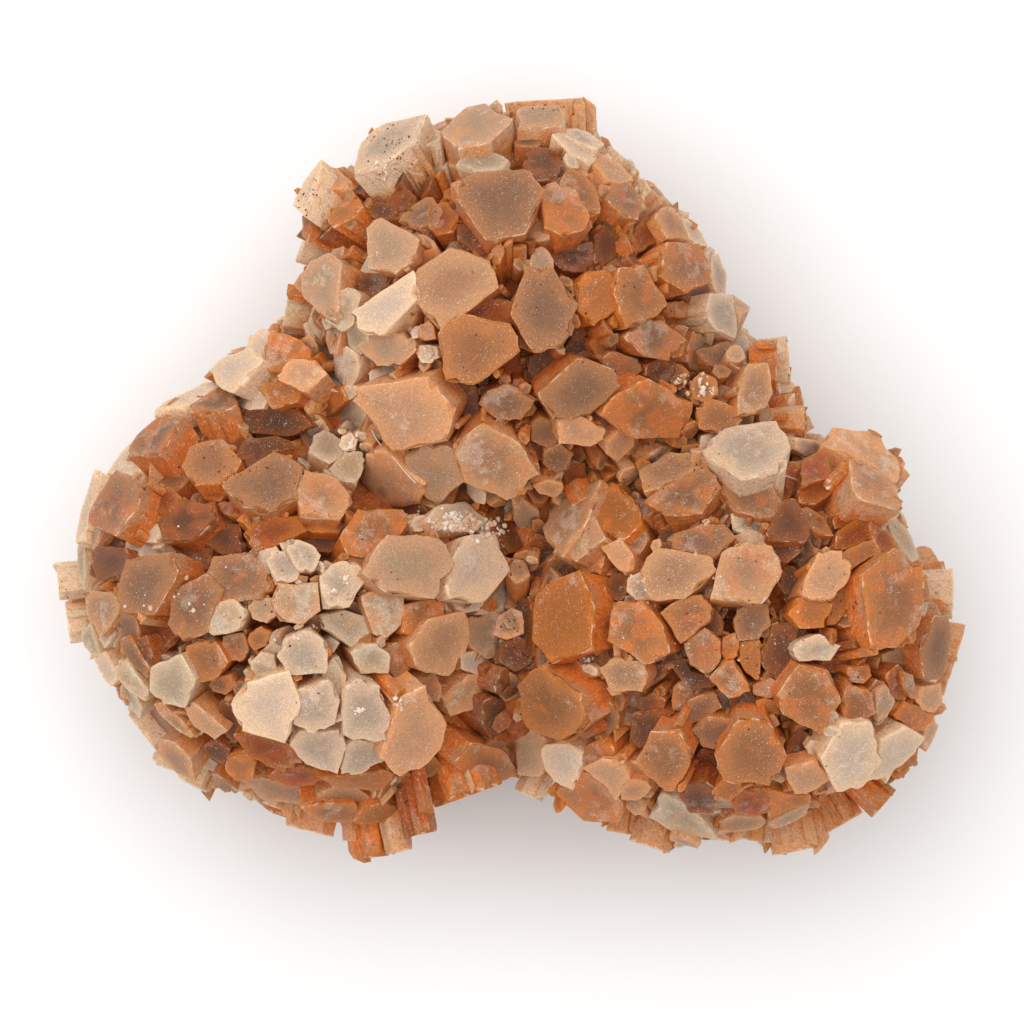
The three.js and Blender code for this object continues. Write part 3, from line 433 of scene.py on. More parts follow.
RIGHT_BALL_PRISMS = [
    ("milk", 1.6, (703, 450), (722, 428), (775, 421), (788, 448), (775, 470), (740, 478)),
    ("rosy", 0.6, (640, 470), (665, 453), (690, 453), (701, 463), (680, 480), (645, 490)),
    ("smoky", 0.8, (644, 500), (672, 482), (706, 467), (718, 485), (700, 512), (665, 514)),
    ("smoky", 0.4, (667, 537), (700, 524), (722, 524), (733, 537), (712, 559), (672, 547)),
    ("rosy", 0.9, (640, 570), (657, 548), (706, 556), (713, 570), (682, 597), (650, 598)),
    ("rosy", 1.4, (711, 596), (722, 553), (740, 542), (769, 547), (780, 569), (760, 601)),
    ("tawny", 0.7, (661, 612), (682, 597), (700, 595), (710, 608), (707, 620), (680, 641)),
    ("smoky", -0.2, (733, 622), (738, 606), (766, 605), (768, 625), (757, 637), (738, 639)),
    ("smoky", 0.2, (719, 492), (724, 473), (765, 480), (780, 500), (771, 518), (735, 510)),
    ("mauve", 0.6, (766, 533), (779, 502), (794, 500), (811, 527), (803, 541), (773, 540)),
    ("rust", -0.6, (798, 490), (810, 480), (830, 478), (835, 490), (815, 503), (800, 502)),
    ("rust", -1.2, (772, 485), (785, 478), (793, 488), (788, 500), (778, 497), (773, 491)),
    ("rust", -0.2, (803, 458), (829, 449), (830, 477), (815, 480), (802, 486), (800, 470)),
    ("rosy", 1.6, (850, 461), (866, 463), (893, 480), (900, 510), (862, 498), (853, 490)),
    ("peach", 0.4, (824, 444), (835, 428), (875, 432), (902, 465), (895, 480), (855, 456)),
    ("cream", 0.2, (862, 500), (885, 505), (900, 511), (895, 518), (880, 521), (868, 515)),
    ("rust", -0.8, (833, 520), (840, 505), (850, 502), (860, 515), (845, 527), (835, 528)),
    ("rust", -0.2, (835, 548), (838, 530), (868, 514), (875, 535), (862, 541), (845, 549)),
    ("rust", 0.1, (870, 522), (890, 535), (897, 550), (880, 551), (875, 543), (871, 532)),
    ("sage", -0.8, (888, 520), (896, 517), (910, 533), (919, 558), (910, 560), (894, 540)),
    ("tawny", 0.0, (840, 553), (862, 542), (876, 541), (880, 552), (858, 563), (850, 570)),
    ("tawny", 1.7, (863, 575), (893, 550), (920, 568), (922, 615), (905, 643), (872, 645)),
    ("peach", 1.0, (800, 590), (818, 553), (840, 552), (851, 572), (832, 598), (812, 598)),
    ("amber", 0.5, (788, 613), (797, 598), (820, 597), (830, 603), (822, 626), (800, 627)),
    ("mauve", -1.2, (780, 577), (783, 566), (797, 567), (800, 580), (792, 597), (781, 590)),
    ("beige", -0.4, (731, 537), (748, 530), (765, 532), (768, 545), (750, 547), (738, 543)),
    ("amber", -0.2, (828, 602), (835, 587), (848, 582), (850, 600), (838, 620), (826, 625)),
    ("milk", 0.9, (792, 649), (800, 640), (818, 634), (838, 645), (828, 659), (798, 660)),
    ("mauve", -0.4, (760, 660), (770, 625), (798, 622), (792, 655), (795, 668), (775, 682)),
    ("peach", 0.2, (601, 547), (620, 538), (632, 555), (630, 568), (622, 572), (610, 561)),
    ("smoky", -0.4, (625, 530), (632, 523), (643, 525), (648, 538), (636, 556), (627, 548)),
    ("mauve", -0.8, (607, 582), (613, 572), (627, 573), (627, 590), (620, 600), (609, 598)),
    ("tawny", 1.3, (608, 640), (612, 605), (640, 600), (660, 625), (667, 650), (645, 662)),
    ("rosy", 0.9, (600, 668), (612, 657), (642, 662), (645, 674), (640, 690), (612, 690)),
    ("cream", -0.2, (579, 669), (588, 664), (596, 668), (596, 676), (588, 679), (580, 675)),
    ("amber", 1.3, (532, 640), (535, 593), (578, 572), (591, 605), (588, 648), (551, 662)),
    ("rosy", 1.0, (543, 532), (549, 508), (586, 487), (599, 480), (587, 518), (562, 555)),
    ("beige", 0.6, (566, 552), (577, 526), (590, 512), (604, 538), (587, 550), (576, 560)),
    ("rosy", -0.4, (531, 576), (533, 562), (544, 560), (558, 577), (547, 586), (533, 586)),
    ("tawny", 1.5, (517, 685), (541, 668), (577, 695), (585, 722), (562, 743), (526, 728)),
    ("beige", 1.2, (515, 738), (530, 731), (545, 742), (541, 775), (518, 775), (516, 760)),
    ("cream", 0.6, (540, 748), (562, 742), (580, 752), (580, 770), (572, 790), (548, 778)),
    ("amber", 0.0, (585, 746), (600, 740), (612, 748), (613, 760), (598, 768), (582, 760)),
    ("smoky", -0.5, (598, 708), (607, 702), (617, 710), (617, 728), (605, 738), (597, 728)),
    ("mauve", -0.6, (630, 715), (650, 710), (672, 713), (655, 730), (640, 748), (630, 742)),
    ("tawny", 0.6, (553, 793), (582, 775), (600, 780), (620, 805), (616, 823), (584, 822)),
    ("peach", 0.4, (583, 769), (600, 760), (622, 762), (628, 778), (615, 800), (605, 785)),
    ("rosy", 0.5, (620, 788), (628, 780), (645, 782), (650, 790), (635, 801), (622, 799)),
    ("tawny", 1.5, (637, 760), (651, 732), (677, 732), (690, 755), (677, 788), (658, 788)),
    ("tawny", 1.6, (716, 755), (738, 720), (765, 720), (783, 755), (768, 786), (723, 778)),
    ("tawny", 1.4, (777, 695), (798, 666), (828, 672), (838, 700), (818, 731), (783, 712)),
    ("mauve", -0.6, (643, 682), (646, 670), (652, 665), (666, 662), (664, 675), (655, 682)),
    ("umber", -1.0, (668, 662), (680, 653), (690, 671), (708, 676), (713, 685), (690, 690)),
    ("tawny", 0.3, (708, 678), (722, 661), (732, 661), (746, 683), (748, 690), (728, 697)),
    ("smoky", 0.4, (683, 643), (703, 628), (718, 640), (718, 660), (706, 673), (690, 664)),
    ("amber", -0.2, (722, 637), (733, 633), (738, 640), (736, 655), (724, 660), (720, 650)),
    ("amber", -0.5, (739, 642), (757, 638), (760, 650), (758, 680), (745, 672), (737, 658)),
    ("umber", -0.9, (728, 701), (737, 694), (751, 690), (754, 700), (745, 712), (735, 713)),
    ("smoky", -0.7, (685, 715), (688, 700), (712, 692), (720, 707), (705, 717), (690, 724)),
    ("smoky", -0.1, (692, 730), (706, 717), (731, 720), (728, 733), (716, 747), (702, 746)),
    ("tawny", -0.3, (752, 685), (770, 678), (780, 685), (778, 695), (765, 697), (753, 693)),
    ("amber", -0.4, (755, 702), (765, 697), (780, 703), (783, 715), (770, 712), (760, 708)),
    ("mauve", -0.6, (783, 765), (788, 745), (800, 729), (812, 740), (820, 757), (802, 764)),
    ("cream", 0.0, (805, 747), (810, 740), (820, 742), (822, 752), (815, 756), (808, 753)),
    ("peach", 0.6, (785, 768), (818, 760), (827, 780), (808, 792), (795, 793), (788, 780)),
    ("sage", -0.6, (650, 818), (662, 795), (680, 800), (700, 818), (715, 838), (685, 838)),
    ("mauve", 0.2, (680, 797), (690, 784), (705, 781), (716, 792), (712, 812), (690, 812)),
    ("amber", 0.3, (712, 791), (722, 780), (740, 781), (742, 789), (730, 800), (715, 799)),
    ("rosy", -1.0, (718, 824), (735, 816), (760, 817), (768, 824), (755, 830), (725, 833)),
    ("beige", -0.8, (770, 824), (790, 811), (810, 805), (806, 815), (790, 824), (772, 830)),
    ("rust", 0.0, (740, 790), (768, 789), (768, 810), (755, 816), (735, 813), (732, 802)),
    ("amber", -0.1, (770, 790), (788, 794), (808, 795), (810, 803), (790, 808), (770, 818)),
    ("tawny", 0.8, (846, 685), (873, 692), (874, 712), (853, 724), (843, 717), (842, 700)),
    ("amber", 0.1, (848, 667), (868, 664), (870, 675), (862, 683), (850, 681), (847, 674)),
    ("beige", 0.5, (876, 692), (886, 685), (894, 702), (886, 716), (876, 720), (875, 708)),
    ("cream", 1.3, (822, 758), (842, 724), (872, 724), (880, 760), (862, 785), (838, 790)),
    ("cream", 0.8, (880, 740), (905, 728), (923, 738), (915, 752), (888, 776), (868, 780)),
    ("amber", 0.4, (900, 762), (912, 745), (918, 748), (917, 762), (908, 770), (900, 772)),
    ("rust", 0.0, (886, 674), (898, 665), (904, 672), (908, 688), (903, 698), (890, 698)),
    ("tawny", 0.3, (902, 672), (912, 675), (917, 698), (910, 697), (905, 690), (902, 680)),
    ("peach", 0.4, (917, 700), (922, 688), (941, 685), (943, 702), (934, 713), (924, 710)),
    ("amber", 0.2, (895, 716), (905, 702), (918, 707), (936, 716), (925, 730), (905, 728)),
    ("smoky", 0.5, (925, 678), (921, 648), (935, 617), (948, 618), (951, 640), (943, 677)),
    ("rosy", -1.0, (882, 654), (903, 646), (915, 650), (918, 663), (905, 665), (885, 662)),
    ("rust", -0.8, (817, 664), (835, 656), (850, 660), (845, 668), (832, 672), (820, 669)),
    ("rust", -1.5, (690, 768), (700, 750), (712, 752), (718, 770), (712, 780), (695, 780)),
    ("amber", 0.2, (590, 490), (612, 483), (634, 500), (640, 522), (622, 538), (600, 530)),
    ("umber", -0.6, (517, 602), (527, 598), (534, 622), (532, 655), (521, 660), (514, 640)),
    ("smoky", -0.4, (590, 585), (604, 588), (608, 612), (606, 642), (593, 654), (589, 620)),
    ("milk", 0.0, (628, 578), (640, 572), (652, 582), (650, 599), (635, 600), (626, 591)),
    ("tawny", -0.5, (578, 548), (594, 541), (603, 556), (598, 573), (583, 572), (572, 560)),
    ("amber", -0.3, (528, 668), (546, 655), (572, 658), (590, 676), (580, 690), (548, 668)),
    ("amber", -0.8, (588, 690), (600, 684), (606, 700), (600, 716), (586, 712), (580, 698)),
    ("mauve", -0.8, (640, 698), (652, 692), (664, 700), (660, 714), (646, 716), (638, 708)),
    ("umber", -0.5, (768, 548), (778, 545), (786, 553), (782, 562), (772, 562), (766, 556)),
    ("mauve", -0.4, (700, 618), (716, 610), (722, 622), (720, 634), (706, 636), (698, 628)),
    ("umber", -2.0, (546, 552), (560, 546), (570, 562), (566, 580), (556, 582), (546, 566)),
]
RIGHT_BALL_LYING = [
    ("cream", 1.0, 24, (890, 592), (954, 592)),
    ("peach", -0.5, 34, (905, 640), (958, 657)),
    ("amber", 1.5, 19, (840, 765), (885, 805)),
    ("peach", 0.5, 21, (812, 765), (846, 824)),
    ("peach", 0.0, 10, (762, 790), (757, 842)),
    ("peach", 0.0, 27, (785, 780), (799, 852)),
    ("peach", 0.5, 22, (672, 780), (650, 848)),
    ("peach", -0.5, 14, (628, 785), (620, 834)),
    ("cream", -1.0, 16, (560, 730), (528, 797)),
]

LEFT_SHOULDER_PRISMS = [
    ("amber", 0.6, (264, 368), (264, 350), (270, 331), (298, 338), (313, 352), (300, 375)),
    ("peach", 1.4, (277, 376), (293, 360), (315, 361), (326, 374), (307, 392), (284, 382)),
    ("amber", 0.4, (260, 390), (268, 383), (283, 382), (302, 391), (296, 402), (273, 408)),
    ("cream", 1.2, (209, 370), (222, 357), (250, 348), (262, 360), (232, 392), (219, 386)),
    ("cream", 0.2, (245, 350), (250, 335), (262, 328), (277, 332), (275, 350), (262, 362)),
    ("umber", -0.6, (240, 412), (266, 404), (296, 410), (310, 426), (286, 436), (248, 432)),
    ("cream", -0.3, (236, 386), (262, 381), (268, 396), (262, 408), (244, 410), (234, 400)),
    ("cream", 0.4, (342, 438), (350, 433), (358, 440), (356, 450), (346, 453), (340, 446)),
]
RIGHT_SHOULDER_PRISMS = [
    ("rosy", 0.8, (740, 385), (748, 365), (768, 364), (772, 392), (760, 412), (738, 415)),
    ("tawny", 0.4, (697, 408), (712, 400), (735, 408), (742, 425), (722, 434), (700, 428)),
    ("tawny", 0.2, (690, 385), (700, 373), (715, 378), (718, 395), (705, 402), (692, 398)),
    ("beige", 0.2, (726, 352), (731, 346), (741, 346), (745, 358), (738, 362), (728, 360)),
    ("cream", 0.0, (798, 438), (816, 441), (826, 446), (822, 452), (806, 457), (797, 450)),
]
RIGHT_SHOULDER_LYING = [
    ("amber", 2.0, 28, (715, 366), (777, 366)),
    ("cream", -1.5, 32, (725, 370), (791, 366)),
    ("peach", 3.0, 16, (740, 421), (805, 421)),
    ("peach", 0.0, 11, (745, 447), (804, 447)),
    ("peach", -3.0, 9, (760, 446), (828, 450)),
]

# The cluster's outline from above, on the plan grid: what fills the gaps stays inside it.
OUTLINE = [
    (292, 202), (322, 153), (346, 158), (364, 126), (430, 111), (470, 105), (505, 98), (578, 96),
    (600, 130), (652, 178), (686, 208), (716, 246), (730, 280), (740, 330), (775, 331), (792, 362),
    (796, 402), (808, 408), (810, 440), (830, 426), (875, 430), (903, 462), (902, 515), (920, 562),
    (951, 562), (967, 625), (952, 690), (938, 740), (900, 795), (860, 825), (825, 846), (780, 856),
    (738, 842), (675, 853), (625, 842), (560, 788), (541, 802), (505, 784), (440, 812), (412, 850),
    (365, 864), (340, 845), (285, 828), (232, 788), (200, 797), (174, 788), (166, 757), (150, 755),
    (124, 705), (86, 648), (64, 642), (54, 568), (76, 560), (76, 528), (94, 468), (152, 408),
    (208, 382), (238, 340), (275, 324), (298, 288), (300, 240),
]


def on_plan(point, height):
    across, down = point
    return Vector(((across - PLAN_MIDDLE[0]) * PLAN_STEP, (PLAN_MIDDLE[1] - down) * PLAN_STEP, height))


class Ball:
    """One ball of prisms, about a middle on the plan grid."""

    def __init__(self, middle, radius, upright=(), lying=()):
        self.middle = on_plan(middle, BALL_HEIGHT)
        self.radius = radius
        self.upright = upright
        self.lying = lying


upper_ball = Ball((505, 335), BALL_RADIUS, UPPER_BALL_PRISMS, UPPER_BALL_LYING)
left_ball = Ball((298, 612), BALL_RADIUS, LEFT_BALL_PRISMS, LEFT_BALL_LYING)
right_ball = Ball((735, 630), BALL_RADIUS, RIGHT_BALL_PRISMS, RIGHT_BALL_LYING)
left_shoulder = Ball((350, 425), SHOULDER_RADIUS, LEFT_SHOULDER_PRISMS)
right_shoulder = Ball((690, 425), SHOULDER_RADIUS, RIGHT_SHOULDER_PRISMS, RIGHT_SHOULDER_LYING)
upper_valley = Ball((545, 525), VALLEY_RADIUS)
lower_valley = Ball((520, 655), VALLEY_RADIUS)
balls = [upper_ball, left_ball, right_ball, left_shoulder, right_shoulder, upper_valley, lower_valley]


class EndFaces:
    """The end faces of the upright prisms, from above."""

    def __init__(self):
        self.loops = []
        self.centres = []
        self.facings = []
        self.tones = []

    def add(self, tone, corners, facing):
        self.tones.append(tone)
        self.loops.append([corner.xy for corner in corners])
        self.centres.append(sum(corners, Vector()) / len(corners))
        self.facings.append(facing)

    def close(self):
        self.starts = np.array(self.loops)
        self.ends = np.roll(self.starts, -1, axis=1)
        self.centres = np.array(self.centres)
        self.facings = np.array(self.facings)

    def tone_near(self, place):
        away = self.centres[:, :2] - np.array(place.xy)
        return self.tones[(away**2).sum(axis=1).argmin()]

    def height_at(self, place, apart_from=None):
        """The highest end face over or under a place, or None beside all of them."""
        x, y = place.x, place.y
        x0, y0 = self.starts[..., 0], self.starts[..., 1]
        x1, y1 = self.ends[..., 0], self.ends[..., 1]
        rise = np.where(y1 == y0, 1, y1 - y0)
        crossed = ((y0 > y) != (y1 > y)) & (x < (x1 - x0) * (y - y0) / rise + x0)
        inside = crossed.sum(axis=1) % 2 == 1
        if apart_from is not None:
            inside[apart_from] = False
        if not inside.any():
            return None
        lean = self.facings[inside, 0] * (x - self.centres[inside, 0])
        lean += self.facings[inside, 1] * (y - self.centres[inside, 1])
        level = (self.centres[inside, 2] - lean / self.facings[inside, 2]).max()
        return level if level > heart_top(place) else None

    def excess(self, corners, apart_from=None):
        """How far the highest of some corners stands above an end face that it overlaps."""
        over = 0
        for corner in corners:
            level = self.height_at(corner, apart_from)
            if level is not None:
                over = max(over, corner.z - level + END_CLEARANCE)
        return over


end_faces = EndFaces()
companions = []  # the prisms beside which small ones grow: number, tone, end face, way back, facing
lying_bars = []  # the prisms that lie level: middle of the end face, direction and half width


def heart_top(place):
    """The height of the highest heart at a place on the plan."""
    tops = [0]
    for ball in balls:
        spare = (ball.radius - HEART_DEPTH) ** 2 - (ball.middle.xy - place.xy).length_squared
        tops.append(ball.middle.z + math.sqrt(max(0, spare)))
    return max(tops)


def grow_upright(ball, tone, rise, *corners):
    flat = [on_plan(corner, BALL_HEIGHT) for corner in corners]
    centre = sum(flat, Vector()) / len(flat)
    outward = centre - ball.middle
    offset = outward.length
    reach = max(ball.radius + rise * MM, offset / math.cos(FLATTEST_SLOPE))
    level = max(math.sqrt(reach**2 - offset**2), heart_top(centre) + LEAST_STAND - BALL_HEIGHT)
    reach = math.hypot(offset, level)
    axis = (outward + Vector((0, 0, level))) / reach
    facing = (outward + Vector((0, 0, max(level, offset * math.tan(FLATTEST_FACE))))).normalized()
    end = []
    for corner in [centre.lerp(corner, TOUCHING) for corner in flat]:
        drop = facing.xy.dot((corner - centre).xy) / facing.z
        end.append(corner + Vector((0, 0, level - drop)))
    back = -axis * (reach - ball.radius + PRISM_DEPTH)
    grow_prism(prisms, fine_blank, tone, end, back, ROOT_TAPER, facing)
    companions.append((len(end_faces.loops), tone, end, back, facing))
    end_faces.add(tone, end, facing)


CORNER_SWAY = 0.3  # how far a corner of an uneven prism strays, as a share of a side
CORNER_REACH = (-0.3, 0.7)  # how far it is drawn in, as a share of the half width


def hexagon_at(centre, axis, half_width, half_height, turn, unevenness=0):
    """The six corners of an end face about a centre, square to an axis."""
    side = Vector((-axis.y, axis.x, 0))
    side = side.normalized() if side.length > NEAR_ZERO else Vector((1, 0, 0))
    up = axis.cross(side)
    corners = []
    for i in range(CORNERS):
        angle = turn + FULL_TURN * (i + dice.uniform(-CORNER_SWAY, CORNER_SWAY) * unevenness) / CORNERS
        spread = 1 - dice.uniform(*CORNER_REACH) * unevenness
        spoke = side * half_width * math.cos(angle) + up * half_height * math.sin(angle)
        corners.append(centre + spoke * spread)
    return corners


def grow_lying(ball, tone, level, half_width, root, tip):
    height = BALL_HEIGHT + level * MM
    end = on_plan(tip, height)
    axis = (end - on_plan(root, height)).normalized()
    half = half_width * PLAN_STEP
    corners = hexagon_at(end, axis, half, max(half * LYING_FLATNESS, THINNEST_LYING), 0)
    length = axis.dot(end - ball.middle) - LYING_ROOT * ball.radius
    grow_prism(prisms, fine_blank, tone, corners, -axis * length, ROOT_TAPER, axis)
    companions.append((None, tone, corners, -axis * length, axis))
    lying_bars.append((end, axis, half))


LYING_SHOWN = 2.4 * MM  # how much of a lying prism stays bare, from its end face inwards
LYING_AHEAD = 0.6 * MM  # and how much room in front of it
LYING_BESIDE = 0.4 * MM
LYING_BELOW = 0.4  # as a share of its half width


def hides_lying(place):
    """Whether something that grows at a place would cover a prism that lies at the edge."""
    for end, axis, half in lying_bars:
        away = place - end
        inwards = -away.dot(axis)
        aside = abs(away.x * axis.y - away.y * axis.x)
        beside = aside < half + LYING_BESIDE and away.z > -LYING_BELOW * half
        if -LYING_AHEAD < inwards < LYING_SHOWN and beside:
            return True
    return False


for ball in balls:
    for row in ball.upright:
        grow_upright(ball, *row)
    for row in ball.lying:
        grow_lying(ball, *row)
end_faces.close()

# ---------------------------------------------------------------------------------------------
# The tiny prisms that hug each large one. Most end just below its rim and some lower down, with
# crooked end faces, and they are stained and smoky: of its own tone or a little darker.
# ---------------------------------------------------------------------------------------------

LOW_TONES = {
    "umber": ["umber", "mauve", "smoky", "tawny"],
    "mauve": ["umber", "mauve", "smoky", "tawny", "amber"],
    "rust": ["umber", "rust", "smoky", "tawny", "amber"],
    "smoky": ["mauve", "smoky", "tawny", "amber", "rosy"],
    "tawny": ["mauve", "smoky", "tawny", "amber", "peach"],
    "amber": ["smoky", "tawny", "rust", "amber", "peach"],
    "rosy": ["smoky", "tawny", "rosy", "amber", "peach"],
    "beige": ["smoky", "tawny", "rosy", "beige", "sage"],
    "sage": ["smoky", "rosy", "beige", "sage", "milk"],
    "peach": ["smoky", "tawny", "rosy", "amber", "peach"],
    "milk": ["rosy", "beige", "sage", "milk", "cream"],
    "cream": ["tawny", "amber", "peach", "beige", "cream"],
}
COMPANIONS = 2.4  # for each millimetre of a prism's half width
FEWEST_COMPANIONS = 3
COMPANION_HALVES = (0.26, 0.8)  # half widths in millimetres
COMPANION_FLATNESS = (0.6, 1)
COMPANION_GAP = (-0.2, 0.55)  # from the rim out to its middle, as a share of its half width
HIGHEST_DROP = 0.05  # below the rim, in millimetres
SHALLOW_DROP = 0.3  # the deepest of one half of them
DEEP_DROP = 1.3  # and of the other half
COMPANION_TILT = 0.9  # of an end face, as a slope
COMPANION_UNEVENNESS = 0.6
COMPANION_LENGTH = 0.6  # as a share of the large prism's
COMPANION_TAPER = 0.85


def tilted(corners, place, facing, steepest):
    """Corners drawn up and down along a facing, so that they make a crooked end face."""
    tilt = Vector([dice.uniform(-steepest, steepest) for _ in range(3)])
    return [corner + facing * tilt.dot(corner - place) for corner in corners]


def grow_companions(own, tone, end, back, facing):
    centre = sum(end, Vector()) / len(end)
    girth = sum((corner - centre).length for corner in end) / len(end)
    axis = -back.normalized()
    for _ in range(max(FEWEST_COMPANIONS, round(girth / MM * COMPANIONS))):
        side = dice.randrange(CORNERS)
        edge = end[side].lerp(end[(side + 1) % CORNERS], dice.random())
        outward = (edge - centre).normalized()
        half = dice.uniform(*COMPANION_HALVES) * MM
        deepest = SHALLOW_DROP if dice.random() < 0.5 else DEEP_DROP
        drop = dice.uniform(HIGHEST_DROP, deepest) * MM
        place = edge + outward * dice.uniform(*COMPANION_GAP) * half - axis * drop
        turn = dice.uniform(0, 1)
        own_tone = dice.choice([tone, tone, "amber"] + LOW_TONES[tone])
        covered = end_faces.height_at(place, own) is not None
        if covered or (own is not None and hides_lying(place)):
            continue
        flat_half = half * dice.uniform(*COMPANION_FLATNESS)
        corners = hexagon_at(place, facing, half, flat_half, turn, COMPANION_UNEVENNESS)
        corners = tilted(corners, place, facing, COMPANION_TILT)
        over = end_faces.excess(corners, own)
        corners = [corner - axis * over for corner in corners]
        way_back = back * COMPANION_LENGTH
        grow_prism(druse_prisms, tiny_blank, own_tone, corners, way_back, COMPANION_TAPER, facing)


for companion in companions:
    grow_companions(*companion)

# ---------------------------------------------------------------------------------------------
# The prisms between, beside and below those: small ones that fill the gaps of the upper side,
# and full-sized ones round the flanks and on the underside. They grow evenly out of each ball.
# Three of them point straight down, end in flat soles, and carry the cluster.
# ---------------------------------------------------------------------------------------------

GOLDEN_TURN = math.pi * (3 - math.sqrt(5))
HEIGHT_SWAY = 0.02  # how far a direction strays from the even spread
TURN_SWAY = 0.12
FLOOR_GAP = 0.45 * MM
FOOT_WIDTH = 5.2 * MM
FOOT_DEPTH = 4.6 * MM
COVER_DEPTH = PRISM_DEPTH - 1.6 * MM  # from the end faces in to the roots
COVER_FLATNESS = (0.75, 1)
COVER_UNEVENNESS = 0.5
LEAST_DOWNWARD = 0.3  # the least downward part by which a prism is drawn in, off the floor
LEAST_UPWARD = 0.2  # the least upward part with which one is pushed down, clear of an end face
DEEPEST_SHIFT = 2 * MM  # of such a push
LEAST_SHELTER = 1.2 * MM  # below an end face that overhangs it, a prism of the flank has room
OUTLINE_STEP = 0.25 * MM  # by which a prism is drawn in until it lies within the outline
OUTLINE_TRIES = 9
OUTLINE_SHARE = 0.4  # of its half width that has to lie within it
# Pale tones for the flank prisms: partly their own colour, partly a painted glow of the light that
# passes through them from the bright floor.
FLANK_TONES_AND_GLOW = ["cream", "peach", "cream", "amber", "beige", "milk", "tawny", "peach"]


def spread_directions(count):
    for i in range(count):
        height = 1 - (2 * i + 1) / count + dice.uniform(-HEIGHT_SWAY, HEIGHT_SWAY)
        height = max(-1, min(1, height))
        across = math.sqrt(1 - height**2)
        angle = i * GOLDEN_TURN + dice.uniform(-TURN_SWAY, TURN_SWAY)
        yield Vector((math.cos(angle) * across, math.sin(angle) * across, height))


def buried(ball, point):
    """Whether a point of one ball lies in the heart of another."""
    others = [other for other in balls if other is not ball]
    return any((other.middle - point).length < other.radius - HEART_DEPTH for other in others)


def within_outline(place):
    x = place.x / PLAN_STEP + PLAN_MIDDLE[0]
    y = PLAN_MIDDLE[1] - place.y / PLAN_STEP
    crossings = 0
    for (x0, y0), (x1, y1) in zip(OUTLINE, OUTLINE[1:] + OUTLINE[:1]):
        if (y0 > y) != (y1 > y) and x < (x1 - x0) * (y - y0) / (y1 - y0) + x0:
            crossings += 1
    return crossings % 2 == 1


def drawn_in(ball, axis, reach, half):
    """Where a prism's end face has room, within the outline and clear of the edge, or None."""
    outermost = axis * math.hypot(axis.x, axis.y) * half * OUTLINE_SHARE
    for _ in range(OUTLINE_TRIES):
        centre = ball.middle + axis * reach
        if within_outline(centre + outermost) and not hides_lying(centre):
            return centre
        reach -= OUTLINE_STEP
    return None


def grow_cover(group, blank, ball, count, upward, reaches, widths, tilts, tones):
    """Prisms all round a ball whose directions have an upward part between two limits.

    Their reaches past the ball's radius and their widths are in millimetres, and their number is
    a full-sized ball's. Without tones of their own they follow the nearest end face's.
    """
    for axis in spread_directions(round(count * (ball.radius / BALL_RADIUS) ** 2)):
        reach = ball.radius + dice.uniform(*reaches) * MM
        half = dice.uniform(*widths) * MM / 2
        flatness = dice.uniform(*COVER_FLATNESS)
        turn = dice.uniform(0, 3)
        luck = dice.random()
        if not upward[0] <= axis.z <= upward[1] or buried(ball, ball.middle + axis * reach):
            continue
        choices = tones or LOW_TONES[end_faces.tone_near(ball.middle + axis * reach)]
        tone = choices[int(luck * len(choices))]
        lowest = ball.middle.z + axis.z * reach - half * math.hypot(axis.x, axis.y)
        reach -= max(0, FLOOR_GAP - lowest) / max(LEAST_DOWNWARD, -axis.z)
        centre = drawn_in(ball, axis, reach, half)
        if centre is None:
            continue
        cover = end_faces.height_at(centre) if axis.z > 0 else None
        if cover is not None and centre.z > cover - LEAST_SHELTER:
            continue
        corners = hexagon_at(centre, axis, half, half * flatness, turn, COVER_UNEVENNESS)
        corners = tilted(corners, centre, axis, tilts)
        if axis.z > LEAST_UPWARD:
            over = min(end_faces.excess(corners) / axis.z, DEEPEST_SHIFT)
            corners = [corner - axis * over for corner in corners]
        grow_prism(group, blank, tone, corners, -axis * COVER_DEPTH, ROOT_TAPER, axis)


for ball in balls:
    grow_cover(
        prisms, small_blank, ball, count=540, upward=(0.05, 1),
        reaches=(-0.6, 0.6), widths=(1.6, 3.7), tilts=0.35, tones=None,
    )
    grow_cover(
        prisms, small_blank, ball, count=205, upward=(-0.97, 0.4),
        reaches=(-1.4, -0.2), widths=(3.2, 5.4), tilts=0.25, tones=FLANK_TONES_AND_GLOW,
    )
    grow_cover(
        druse_prisms, tiny_blank, ball, count=1050, upward=(0.05, 1),
        reaches=(-1.1, 0.1), widths=(0.9, 2.1), tilts=0.9, tones=None,
    )
    grow_cover(
        druse_prisms, tiny_blank, ball, count=330, upward=(-0.96, 0.32),
        reaches=(-1.3, -0.5), widths=(1.2, 2.8), tilts=0.7, tones=FLANK_TONES_AND_GLOW,
    )

for ball in (upper_ball, left_ball, right_ball):
    sole = Vector((ball.middle.x, ball.middle.y, 0))
    corners = hexagon_at(sole, Vector((0, 0, -1)), FOOT_WIDTH / 2, FOOT_WIDTH / 2, 0)
    grow_prism(prisms, small_blank, "beige", corners, Vector((0, 0, FOOT_DEPTH)), ROOT_TAPER, Vector())

# ---------------------------------------------------------------------------------------------
# The hearts in which the prisms merge, and the whole cluster: one solid, grown together, in
# which every prism is joined to its neighbours. The tiny prisms are a second one that coats it.
# Both are frosted aragonite, stained by iron where water stood between the crystals, with painted
# shade added where they are most sheltered.
# ---------------------------------------------------------------------------------------------

HEART_SUBDIVISIONS = 4
HEART_GRAIN = 0.16 * MM
HEART_PLACE = (0, 3)  # on the growth map: 3 mm below a rim, where the stain is deep
SMOOTH_UNDER = math.radians(24)


